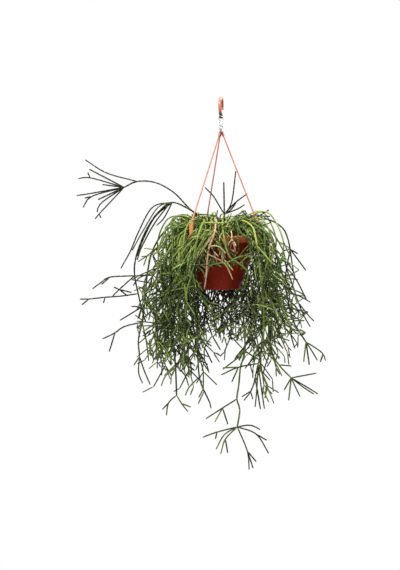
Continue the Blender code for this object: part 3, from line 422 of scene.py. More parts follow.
@dataclass(frozen=True)
class StemSkin:
    """Green skin with painted light that makes it yellower up high and darker low down, painted shade within
    the plant, and woody brown on old stems.

    The mesh keeps two numbers for each branch: tone, which varies its green, and age, from fresh to woody.
    """

    name: str = "stem_skin"
    lit: Colour = (0.31, 0.35, 0.075)
    fresh: Colour = (0.13, 0.19, 0.032)
    green: Colour = (0.045, 0.078, 0.012)
    deep: Colour = (0.008, 0.014, 0.004)
    hidden: Colour = (0.003, 0.005, 0.0015)
    woody: Colour = (0.50, 0.33, 0.21)
    cork: Colour = (0.24, 0.13, 0.08)
    areole: Colour = (0.40, 0.33, 0.20)
    # The shade within the plant: from how far out it deepens, where it starts under the rim and where it ends
    shade_reach: Pair = (86 * MM, 68 * MM)
    shade_top: Pair = (RIM_Z - 4 * MM, RIM_Z - 16 * MM)
    shade_low: Pair = (-395 * MM, -365 * MM)
    shade_most: float = 0.8
    gloss: float = 0.12

    def material(self) -> Material:
        """The finish as a material."""
        web = NodeWeb(bpy.data.materials.new(self.name))
        height = web.axis(web.place(), "Z")
        tone, age = web.attribute("tone"), web.attribute("age")
        cloud = web.noise(60, 4)
        # Painted light: the higher a stem hangs, the lighter and yellower it is
        up = web.spread(height, -320 * MM, -225 * MM, (0, 0.2))
        light = web.math("ADD", web.times(tone, 0.62), up)
        light = web.math("ADD", light, web.spread(cloud, 0.3, 0.7, (-0.1, 0.1)))
        # The greens run from deep to lit with each branch's tone and with the painted light up high
        greens = web.mix(web.spread(light, 0.0, 0.35), self.deep, self.green)
        greens = web.mix(web.spread(light, 0.35, 0.62), greens, self.fresh)
        greens = web.mix(web.spread(light, 0.62, 0.95), greens, self.lit)
        greens = web.mix(self.inside(web, height), greens, self.hidden)
        bark = web.mix(web.spread(web.noise(330, 5), 0.4, 0.65), self.woody, self.cork)
        mottled = web.math("ADD", age, web.spread(web.noise(120, 4), 0.3, 0.7, (-0.2, 0.2)))
        skin = web.mix(web.spread(mottled, 0.3, 0.8), greens, bark)
        dots = self.areoles(web)
        web.surface(web.mix(dots, skin, self.areole), web.spread(cloud, 0.3, 0.7, (0.36, 0.52)))
        web.shader.inputs["Specular IOR Level"].default_value = self.gloss
        grain = web.times(web.noise(900, 4), 0.4)
        web.bump(web.math("ADD", grain, dots), 0.25 * MM, 0.6)
        return web.owner

    def inside(self, web: NodeWeb, height: NodeSocket) -> NodeSocket:
        """How deep a place lies in the shade within the plant."""
        level = web.times(web.spread(height, *self.shade_top), web.spread(height, *self.shade_low))
        return web.times(web.spread(web.from_axis(), *self.shade_reach, (0, self.shade_most)), level)

    def areoles(self, web: NodeWeb) -> NodeSocket:
        """Small pale cushions in rows along each stem, from the mesh's own map."""
        wrapped = web.add("ShaderNodeUVMap", {}, uv_map="skin").outputs["UV"]
        rows = web.add("ShaderNodeMapping", {"Vector": wrapped, "Scale": (3, 95, 1)}).outputs[0]
        inputs = {"Vector": rows, "Scale": 1.0, "Randomness": 0.55}
        near = web.add("ShaderNodeTexVoronoi", inputs, voronoi_dimensions="2D").outputs["Distance"]
        return web.spread(near, 0.16, 0.07)


# Meshes


def add_object(name: str, mesh: bpy.types.ID) -> Object:
    """Puts a mesh, a light or a camera into the scene."""
    obj = bpy.data.objects.new(name, mesh)
    bpy.context.scene.collection.objects.link(obj)
    return obj


def mesh_from(shape: BMesh, name: str, place: Optional[Matrix] = None) -> Mesh:
    """Puts a closed bmesh in its place, writes it to a new mesh with its faces outwards, and frees it."""
    if place is not None:
        bmesh.ops.transform(shape, matrix=place, verts=shape.verts)
    bmesh.ops.remove_doubles(shape, verts=shape.verts, dist=0.002 * MM)
    bmesh.ops.recalc_face_normals(shape, faces=shape.faces)
    mesh = bpy.data.meshes.new(name)
    shape.to_mesh(mesh)
    shape.free()
    return mesh


def extruded(shape: BMesh, edges: Sequence[BMEdge]) -> tuple[list[BMVert], list[BMEdge]]:
    """Draws a ring of edges out, and gives the new ring's corners and edges."""
    grown = bmesh.ops.extrude_edge_only(shape, edges=edges)["geom"]
    fresh = {item for item in grown if isinstance(item, BMVert)}
    return list(fresh), [item for item in grown if isinstance(item, BMEdge) and set(item.verts) <= fresh]


def bake(obj: Object) -> None:
    """Puts the modifiers' result into the object's own mesh."""
    bpy.context.view_layer.update()
    graph = bpy.context.evaluated_depsgraph_get()
    mesh = bpy.data.meshes.new_from_object(obj.evaluated_get(graph))
    obj.modifiers.clear()
    obj.data = mesh


def combine(obj: Object, operation: str, meshes: Iterable[Mesh]) -> None:
    """Adds shapes to an object, or cuts them from it, with one Boolean.

    Args:
        obj: what is changed.
        operation: UNION or DIFFERENCE.
        meshes: the shapes, whose objects don't stay.
    """
    helpers = bpy.data.collections.new("helpers")
    for mesh in meshes:
        helpers.objects.link(bpy.data.objects.new("helper", mesh))
    bpy.context.scene.collection.children.link(helpers)
    boolean = obj.modifiers.new("Combine", "BOOLEAN")
    boolean.operation = operation
    boolean.operand_type = "COLLECTION"
    boolean.collection = helpers
    boolean.solver = "EXACT"
    bake(obj)
    for helper in list(helpers.objects):
        bpy.data.objects.remove(helper, do_unlink=True)
    bpy.data.collections.remove(helpers)


def lathe(profile: Sequence[Pair], steps: int, centre: Vector = Vector()) -> Mesh:
    """Spins a profile round an upright line.

    Args:
        profile: (radius, height) pairs, from the axis to the axis or closed.
        steps: how many sides the result has.
        centre: a point of the line.

    Returns:
        The turned mesh.
    """
    shape = bmesh.new()
    verts = [shape.verts.new((centre.x + radius, centre.y, height)) for radius, height in profile]
    edges = [shape.edges.new(pair) for pair in zip(verts, verts[1:])]
    bmesh.ops.spin(shape, geom=verts + edges, cent=centre, axis=(0, 0, 1), angle=math.tau, steps=steps,
                   use_merge=True)
    return mesh_from(shape, "turned")


def rounded_block(low: Sequence[float], high: Sequence[float], edge: float, turn: float = 0.0,
                  about: Pair = (0, 0)) -> Mesh:
    """A block between two corners with rounded edges, turned about an upright line."""
    low, high = Vector(low), Vector(high)
    shape = bmesh.new()
    bmesh.ops.create_cube(shape, size=1)
    place = Matrix.Translation((low + high) / 2) @ Matrix.Diagonal((*(high - low), 1))
    bmesh.ops.transform(shape, matrix=place, verts=shape.verts)
    bmesh.ops.bevel(shape, geom=shape.edges[:], offset=edge, segments=2, profile=0.5, affect="EDGES",
                    material=-1)
    return mesh_from(shape, "block", Matrix.Translation((*about, 0)) @ Matrix.Rotation(turn, 4, "Z"))


def rod(start: Vector, end: Vector, radius: float, sides: int, tip: Optional[float] = None) -> Mesh:
    """A straight rod between two points, tapered where a tip radius is given."""
    along = end - start
    shape = bmesh.new()
    bmesh.ops.create_cone(shape, cap_ends=True, segments=sides, radius1=radius,
                          radius2=radius if tip is None else tip, depth=along.length)
    aim = along.to_track_quat("Z", "Y").to_matrix().to_4x4()
    return mesh_from(shape, "rod", Matrix.Translation((start + end) / 2) @ aim)


def wire_ring(centre: Vector, radius: float, wire: float, turn: float) -> Mesh:
    """A ring of wire that stands upright, turned about its upright diameter."""
    shape = bmesh.new()
    made = bmesh.ops.create_circle(shape, segments=12, radius=wire)
    bmesh.ops.translate(shape, vec=(radius, 0, 0), verts=made["verts"])
    bmesh.ops.spin(shape, geom=shape.verts[:] + shape.edges[:], cent=(0, 0, 0), axis=(0, 1, 0),
                   angle=math.tau, steps=36, use_merge=True)
    return mesh_from(shape, "ring", Matrix.Translation(centre) @ Matrix.Rotation(turn, 4, "Z"))


def dress(obj: Object, material: Material, slot: Slot, body: str, *nodes: str,
          sharp: float = 40.0) -> Object:
    """Gives a finished piece its material and its body, and hides the CAD nodes that it stands for.

    Args:
        obj: the piece.
        material: its look.
        slot: the record's slot, which is not used.
        body: the CAD body that it moves with.
        nodes: CAD nodes that it replaces.
        sharp: the angle in degrees past which an edge stays sharp.

    Returns:
        The piece.
    """
    obj.data.name = obj.name
    obj.data.materials.clear()
    obj.data.materials.append(material)
    obj.data.shade_smooth()
    obj.data.set_sharp_from_angle(angle=math.radians(sharp))
    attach(obj, body)
    if nodes:
        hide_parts(*nodes)
    LOG.info("%s: %d faces", obj.name, len(obj.data.polygons))
    return obj


class Mould:
    """Straight closed tubes of one section, which are bent along a line."""

    def __init__(self, section: Callable[[BMesh], Any]) -> None:
        """Keeps the section, a function that draws one flat face at height 0."""
        self.section = section
        self.tubes: dict[int, Mesh] = {}
        self.parts: dict[int, dict[str, Array]] = {}

    def tube(self, rings: int) -> Mesh:
        """A tube whose rings stand one above the other, a unit apart, with a map round and along it."""
        if rings in self.tubes:
            return self.tubes[rings]
        shape = bmesh.new()
        self.section(shape)
        edges = shape.edges[:]
        for _ in range(rings - 1):
            fresh, edges = extruded(shape, edges)
            bmesh.ops.translate(shape, vec=(0, 0, 1), verts=fresh)
        bmesh.ops.edgeloop_fill(shape, edges=edges)
        bmesh.ops.recalc_face_normals(shape, faces=shape.faces)
        self.map_round(shape)
        mesh = bpy.data.meshes.new("tube")
        shape.to_mesh(mesh)
        shape.free()
        self.tubes[rings] = mesh
        self.parts[rings] = self.read(mesh)
        return mesh

    def map_round(self, shape: BMesh) -> None:
        """Lays the map: once round the tube is 1 across, and a face over the seam isn't torn."""
        layer = shape.loops.layers.uv.new("skin")
        for face in shape.faces:
            around = [math.atan2(loop.vert.co.y, loop.vert.co.x) / math.tau % 1 for loop in face.loops]
            if max(around) - min(around) > 0.5:
                around = [turn + 1 if turn < 0.5 else turn for turn in around]
            for loop, turn in zip(face.loops, around):
                loop[layer].uv = (turn, loop.vert.co.z)

    def read(self, mesh: Mesh) -> dict[str, Array]:
        """The tube's places and map as arrays."""
        places = np.zeros(len(mesh.vertices) * 3)
        mesh.vertices.foreach_get("co", places)
        wrapped = np.zeros(len(mesh.loops) * 2)
        mesh.uv_layers["skin"].data.foreach_get("uv", wrapped)
        places, wrapped = places.reshape(-1, 3), wrapped.reshape(-1, 2)
        return {"x": places[:, 0], "y": places[:, 1], "ring": np.rint(places[:, 2]).astype(int),
                "round": wrapped[:, 0], "loop_ring": np.rint(wrapped[:, 1]).astype(int)}

    def bent(self, line: Array, radii: Array, flat: Optional[Array] = None) -> Array:
        """Where the tube's vertices go on this line.

        Args:
            line: the middle of each ring.
            radii: the size of each ring.
            flat: a direction that the section's second axis keeps, or None for the line's own.

        Returns:
            One place for each vertex of the tube.
        """
        part = self.parts[len(line)]
        ahead = np.gradient(line, axis=0)
        ahead /= np.linalg.norm(ahead, axis=1)[:, None]
        if flat is None:
            flat = np.linalg.svd(line - line.mean(axis=0), full_matrices=False)[2][2]
        side = np.cross(flat, ahead)
        side /= np.linalg.norm(side, axis=1)[:, None]
        other = np.cross(ahead, side)
        ring = part["ring"]
        across = part["x"][:, None] * side[ring] + part["y"][:, None] * other[ring]
        return line[ring] + across * radii[ring][:, None]


def round_section(sides: int) -> Callable[[BMesh], Any]:
    """A section that is a round of radius one."""
    return lambda shape: bmesh.ops.create_circle(shape, cap_ends=True, segments=sides, radius=1)


def strap_section(thick: float, wide: float, edge: float) -> Callable[[BMesh], Any]:
    """A section that is a rectangle with rounded corners."""

    def draw(shape: BMesh) -> None:
        """Draws the rectangle and rounds its corners."""
        bmesh.ops.create_grid(shape, x_segments=1, y_segments=1, size=0.5)
        bmesh.ops.scale(shape, vec=(thick, wide, 1), verts=shape.verts)
        bmesh.ops.bevel(shape, geom=shape.verts[:], offset=edge, segments=3, profile=0.5, affect="VERTICES",
                        material=-1)

    return draw


def run_lengths(line: Array) -> Array:
    """How far along a line each of its places is."""
    return np.concatenate([[0], np.cumsum(np.linalg.norm(np.diff(line, axis=0), axis=1))])


def smooth_line(points: Array, step: float) -> tuple[Array, Array]:
    """A smooth line through the points.

    Args:
        points: at least two places.
        step: about how far apart the new places are.

    Returns:
        The new places, and which of them are the given points.
    """
    if len(points) == 2:
        count = max(2, int(np.linalg.norm(points[1] - points[0]) / step) + 1)
        shares = np.linspace(0, 1, count)[:, None]
        return points[0] + shares * (points[1] - points[0]), np.array([0, count - 1])
    padded = np.vstack([2 * points[0] - points[1], points, 2 * points[-1] - points[-2]])
    found, marks = [points[0]], [0]
    for number in range(len(points) - 1):
        a, b, c, d = padded[number:number + 4]
        count = max(1, int(round(np.linalg.norm(c - b) / step)))
        for t in np.arange(1, count + 1) / count:
            found.append(0.5 * (2 * b + (c - a) * t + (2 * a - 5 * b + 4 * c - d) * t**2
                                + (3 * b - a - 3 * c + d) * t**3))
        marks.append(len(found) - 1)
    return np.array(found), np.array(marks)


# Hanger


@dataclass
class Hook:
    """The plastic hook: a strap bent to a J, with a disc and an eye at its foot."""

    inner: float = HOOK_INNER
    thick: float = 4 * MM
    wide: float = 5 * MM
    tip_drop: float = 8 * MM
    tip_flare: float = 0.4 * MM
    turn: float = HOOK_TURN
    foot: Pair = (-0.5 * MM, -28 * MM)
    shank_mm: tuple[Pair, ...] = ((-11.2, -15), (-7.5, -20.9), (-2, -25.8))
    foot_radius: float = 3.9 * MM
    eye_radius: float = 2.2 * MM
    edge: float = 1.1 * MM

    def line(self) -> Array:
        """The strap's middle line in the hook's own plane, from its tip to the side of its eye."""
        middle, centre_z = self.inner + self.thick / 2, -self.inner
        route = [(middle + self.tip_flare, centre_z - self.tip_drop)]
        for step in range(13):
            angle = math.pi * step / 12
            route.append((middle * math.cos(angle), centre_z + middle * math.sin(angle)))
        route += [(x * MM, z * MM) for x, z in self.shank_mm[:-1]]
        joint = Vector(self.shank_mm[-1]) * MM
        foot = Vector(self.foot)
        end = foot + (joint - foot).normalized() * (self.foot_radius + self.eye_radius) / 2
        route.append(tuple(end))
        return smooth_line(np.array([(x, 0.0, z) for x, z in route]), 1.2 * MM)[0]

    def strap(self) -> Mesh:
        """The bent strap, with its tip rounded off."""
        mould = Mould(strap_section(self.thick, self.wide, self.edge))
        line = self.line()
        sizes = np.ones(len(line))
        sizes[:3] = (0.55, 0.86, 0.97)
        mesh = mould.tube(len(line)).copy()
        places = mould.bent(line, sizes, np.array([0.0, 1.0, 0.0]))
        mesh.vertices.foreach_set("co", places.ravel())
        return mesh

    def build(self) -> Object:
        """The hook, turned to where it faces."""
        hook = add_object("hook_strap", self.strap())
        foot = Vector((self.foot[0], 0, self.foot[1]))
        half = Vector((0, self.wide / 2, 0))
        rim, eye = 0.5 * MM, self.eye_radius
        profile = [(eye + rim, half.y), (self.foot_radius - rim, half.y), (self.foot_radius, half.y - rim),
                   (self.foot_radius, rim - half.y), (self.foot_radius - rim, -half.y), (eye + rim, -half.y),
                   (eye, rim - half.y), (eye, half.y - rim), (eye + rim, half.y)]
        ring = lathe(profile, 40)
        ring.transform(Matrix.Translation(foot) @ Matrix.Rotation(math.pi / 2, 4, "X"))
        combine(hook, "UNION", [ring])
        hook.data.transform(Matrix.Rotation(self.turn, 4, "Z"))
        return hook


@dataclass
class Swivel:
    """The steel swivel: a wire eye on a headed shaft, which turns in a barrel with a wire eye of its own."""

    hook: Hook
    wire: float = 0.8 * MM
    upper_ring: float = 3.9 * MM
    lower_ring: float = 3.2 * MM
    shaft: float = 0.9 * MM
    head: float = 2 * MM
    head_tall: float = 1.4 * MM
    top: float = -38 * MM
    tall: float = 7.2 * MM
    radius: float = 3.3 * MM
    wall: float = 0.8 * MM
    floor: float = 1.7 * MM
    edge: float = 1.1 * MM
    neck_tall: float = 1.6 * MM
    neck_gap: float = 0.35 * MM

    def sag(self, radius: float, half_width: float) -> float:
        """How far a ring bends away over half the width of the plate that it goes through."""
        return radius - math.sqrt(radius**2 - half_width**2)

    def lower_z(self) -> float:
        """The height of the lower ring's middle."""
        return self.top - self.tall - self.lower_ring + self.wire

    def build_eye(self) -> Object:
        """The upper ring with its shaft and head."""
        hook = self.hook
        top = hook.foot[1] - hook.eye_radius + self.wire + 2 * GAP + self.sag(self.upper_ring, hook.wide / 2)
        ring_z = top - self.upper_ring
        ring = wire_ring(upright(ring_z), self.upper_ring, self.wire, hook.turn + math.pi / 2)
        head_top = self.top - self.neck_tall - 2 * GAP
        low, rim = head_top - self.head_tall, 0.4 * MM
        profile = [(0, ring_z - self.upper_ring + self.wire / 2),
                   (self.shaft, ring_z - self.upper_ring), (self.shaft, head_top),
                   (self.head - rim, head_top), (self.head, head_top - rim), (self.head, low + rim),
                   (self.head - rim, low), (0, low)]
        eye = add_object("swivel_upper", ring)
        combine(eye, "UNION", [lathe(profile, 24)])
        return eye

    def build_barrel(self) -> Object:
        """The hollow barrel with its lower ring."""
        bottom, neck, room = self.top - self.tall, self.shaft + self.neck_gap, self.radius - self.wall
        rim = self.edge / 3
        profile = [(0, bottom + self.floor), (room, bottom + self.floor), (room, self.top - self.neck_tall),
                   (neck, self.top - self.neck_tall), (neck, self.top),
                   (self.radius - self.edge, self.top), (self.radius - rim, self.top - rim),
                   (self.radius, self.top - self.edge), (self.radius, bottom + self.edge),
                   (self.radius - rim, bottom + rim), (self.radius - self.edge, bottom), (0, bottom)]
        barrel = add_object("swivel_lower", lathe(profile, 28))
        combine(barrel, "UNION", [wire_ring(upright(self.lower_z()), self.lower_ring, self.wire, 0)])
        return barrel


@dataclass
class Hub:
    """The plastic hub: a lug with an eye, a round core and a sleeve for each strand."""

    swivel: Swivel
    lug_wide: float = 5 * MM
    lug_thick: float = 2.4 * MM
    lug_eye: float = 1.5 * MM
    lug_over_eye: float = 1.4 * MM
    core_top: float = -53 * MM
    core_bottom: float = -58 * MM
    core_radius: float = 3 * MM
    sleeve_radius: float = 2.2 * MM
    sleeve_sunk: float = 1.5 * MM
    sleeve_taper: float = 0.92
    socket_past: float = 3 * MM
    edge: float = 0.7 * MM
    lug_edge: float = 0.6 * MM

    def eye_z(self) -> float:
        """The height of the lug's eye, which hangs on the swivel's wire."""
        swivel = self.swivel
        wire_low = swivel.lower_z() - swivel.lower_ring
        return wire_low + swivel.wire + GAP + swivel.sag(swivel.lower_ring, self.lug_thick / 2) - self.lug_eye

    def build(self) -> Object:
        """The hub, with its sockets cut."""
        edge, radius, azimuths = self.edge, self.core_radius, STRAND_AZIMUTHS.values()
        top, bottom = self.core_top, self.core_bottom
        profile = [(0, top), (radius - edge, top), (radius - edge / 3, top - edge / 3), (radius, top - edge),
                   (radius, bottom + edge), (radius - edge, bottom), (0, bottom)]
        hub = add_object("hub_moulding", lathe(profile, 32))
        lug = rounded_block((-self.lug_thick / 2, -self.lug_wide / 2, top - MM),
                            (self.lug_thick / 2, self.lug_wide / 2,
                             self.eye_z() + self.lug_eye + self.lug_over_eye), self.lug_edge)
        sleeves = [rod(along_strand(azimuth, top - self.sleeve_sunk), along_strand(azimuth, SLEEVE_END),
                       self.sleeve_radius, 20, self.sleeve_radius * self.sleeve_taper)
                   for azimuth in azimuths]
        combine(hub, "UNION", [lug] + sleeves)
        across, eye = Vector((self.lug_wide, 0, 0)), upright(self.eye_z())
        holes = [rod(along_strand(azimuth, SOCKET_TOP), along_strand(azimuth, SLEEVE_END - self.socket_past),
                     STRAND_RADIUS + GAP, 16) for azimuth in azimuths]
        combine(hub, "DIFFERENCE", [rod(eye - across, eye + across, self.lug_eye, 20)] + holes)
        return hub


@dataclass
class Strand:
    """One thin moulded strand with the clip that holds the pot's lip."""

    node: str
    azimuth: float
    edge: float = 0.45 * MM
    flare: float = 14 * MM
    flared: float = 1.9 * MM

    def build(self) -> Object:
        """The rod, its flared end, and the clip's tongue, claw and tab."""
        upper, lower = along_strand(self.azimuth, SOCKET_TOP - GAP), strand_line(self.azimuth)[1]
        strand = add_object(self.node.replace("strand", "hanger"), rod(upper, lower, STRAND_RADIUS, 16))
        turn = math.radians(self.azimuth)
        inner, outer = LIP_RADIUS + GAP, LIP_RADIUS + GAP + CLIP_THICK
        under_lip, over_lip = RIM_Z - LIP_TALL - GAP, RIM_Z + GAP
        half = CLIP_WIDE / 2
        shapes = [rod(along_strand(self.azimuth, CLIP_TOP + self.flare),
                      along_strand(self.azimuth, CLIP_TOP - MM), STRAND_RADIUS, 16, self.flared)]
        for near, far, low, high in (
            (inner, outer, under_lip - CLAW_THICK, CLIP_TOP),
            (LIP_INNER + WALL + 2 * GAP, inner + GAP, under_lip - CLAW_THICK, under_lip),
            (LIP_INNER + TAB_INSET, inner + GAP, over_lip, over_lip + CLAW_THICK),
        ):
            shapes.append(rounded_block((near, -half, low), (far, half, high), self.edge, turn, POT_CENTRE))
        combine(strand, "UNION", shapes)
        return strand


# Pot and soil


@dataclass
class Pot:
    """The round plastic pot with its thick lip and drain holes."""

    steps: int = 96
    drain_count: int = 5
    drain_ring: float = 23 * MM
    drain_radius: float = 3.5 * MM
    floor_edge: float = 1.5 * MM
    corner: float = 0.45 * MM

    def inner_profile(self) -> list[Pair]:
        """The pot's inside, from the rim down to its floor."""
        floor_z = RIM_Z - POT_TALL + WALL
        inside = [(LIP_INNER + MOUTH_EDGE, RIM_Z), (LIP_INNER, RIM_Z - WALL)]
        inside += [(radius * MM - WALL, RIM_Z - drop * MM) for radius, drop in BODY_MM[:-2]]
        low = BODY_MM[-2][0] * MM - WALL
        return inside + [(low, floor_z + self.floor_edge), (low - self.floor_edge, floor_z)]

    def softened(self, profile: list[Pair]) -> list[Pair]:
        """Cuts each corner of a profile twice, so that a light runs over it softly."""
        found = [profile[0]]
        for before, corner, after in zip(profile, profile[1:], profile[2:]):
            here = Vector(corner)
            for other in (Vector(before), Vector(after)):
                away = other - here
                found.append(tuple(here + away.normalized() * min(self.corner, away.length / 3)))
        return found + [profile[-1]]

    def build(self) -> Object:
        """The pot, spun from its profile, with its drain holes cut."""
        inside, outside = self.inner_profile(), outer_profile()
        profile = [(0, inside[-1][1])] + inside[::-1] + outside + [(0, RIM_Z - POT_TALL)]
        pot = add_object("pot_shell", lathe(self.softened(profile), self.steps, pot_axis(0)))
        lift = upright(2 * WALL)
        drains = []
        for number in range(self.drain_count):
            way = turned_about(math.tau * number / self.drain_count)
            place = pot_axis(RIM_Z - POT_TALL) + way * self.drain_ring
            drains.append(rod(place - lift, place + lift, self.drain_radius, 24))
        combine(pot, "DIFFERENCE", drains)
        return pot


@dataclass
class Soil:
    """Peat with a crumbly top, and grains of perlite in it."""

    pot: Pot
    rings: int = 14
    sides: int = 72
    crumble: float = 2.2 * MM
    grains: int = 90
    seed: int = 12

    def build(self) -> Object:
        """The soil's block, with an uneven top."""
        shape = bmesh.new()
        radius = LIP_INNER - GAP
        made = bmesh.ops.create_circle(shape, cap_ends=True, segments=self.sides, radius=radius)
        bmesh.ops.translate(shape, vec=pot_axis(SOIL_Z), verts=made["verts"])
        rim = shape.edges[:]
        for _ in range(self.rings):
            face = max(shape.faces, key=lambda one: len(one.verts))
            bmesh.ops.inset_region(shape, faces=[face], thickness=radius / (self.rings + 1))
        for vert in shape.verts:
            lump = noise.noise(vert.co * 160) + 0.6 * noise.noise(vert.co * 420)
            vert.co.z += lump * self.crumble * 0.6 - 0.4 * self.crumble
        side = [(r - GAP, z) for r, z in self.pot.inner_profile() if z < SOIL_Z - 3 * MM]
        last = radius
        for wide, z in side:
            fresh, rim = extruded(shape, rim)
            for vert in fresh:
                out = (vert.co - pot_axis(0)) * (wide / last)
                vert.co = Vector((out.x, out.y, 0)) + pot_axis(z + GAP)
            last = wide
        bmesh.ops.edgeloop_fill(shape, edges=rim)
        return add_object("peat", mesh_from(shape, "peat"))

    def build_grains(self) -> Object:
        """Perlite, half sunk in the soil's top."""
        chance = np.random.default_rng(self.seed)
        shape = bmesh.new()
        for _ in range(self.grains):
            out = (LIP_INNER - 5 * MM) * math.sqrt(chance.uniform(0, 1))
            place = pot_axis(SOIL_Z - 0.4 * self.crumble) + turned_about(chance.uniform(0, math.tau)) * out
            made = bmesh.ops.create_icosphere(shape, subdivisions=1, radius=chance.uniform(0.9, 2.0) * MM)
            stretch = Matrix.Diagonal((*chance.uniform(0.7, 1.3, 3), 1))
            bmesh.ops.transform(shape, matrix=Matrix.Translation(place) @ stretch, verts=made["verts"])
        return add_object("perlite_grains", mesh_from(shape, "perlite_grains"))


# Growth of the stems: the same sprays, drawn and random, as the CAD nodes


def twig(at: int, *parts: tuple) -> Twig:
    """A twig that leaves point number at of its parent: its (across, height) points, then its own forks."""
    forks = tuple(part for part in parts if isinstance(part, Twig))
    return Twig(at, parts[:len(parts) - len(forks)], forks)


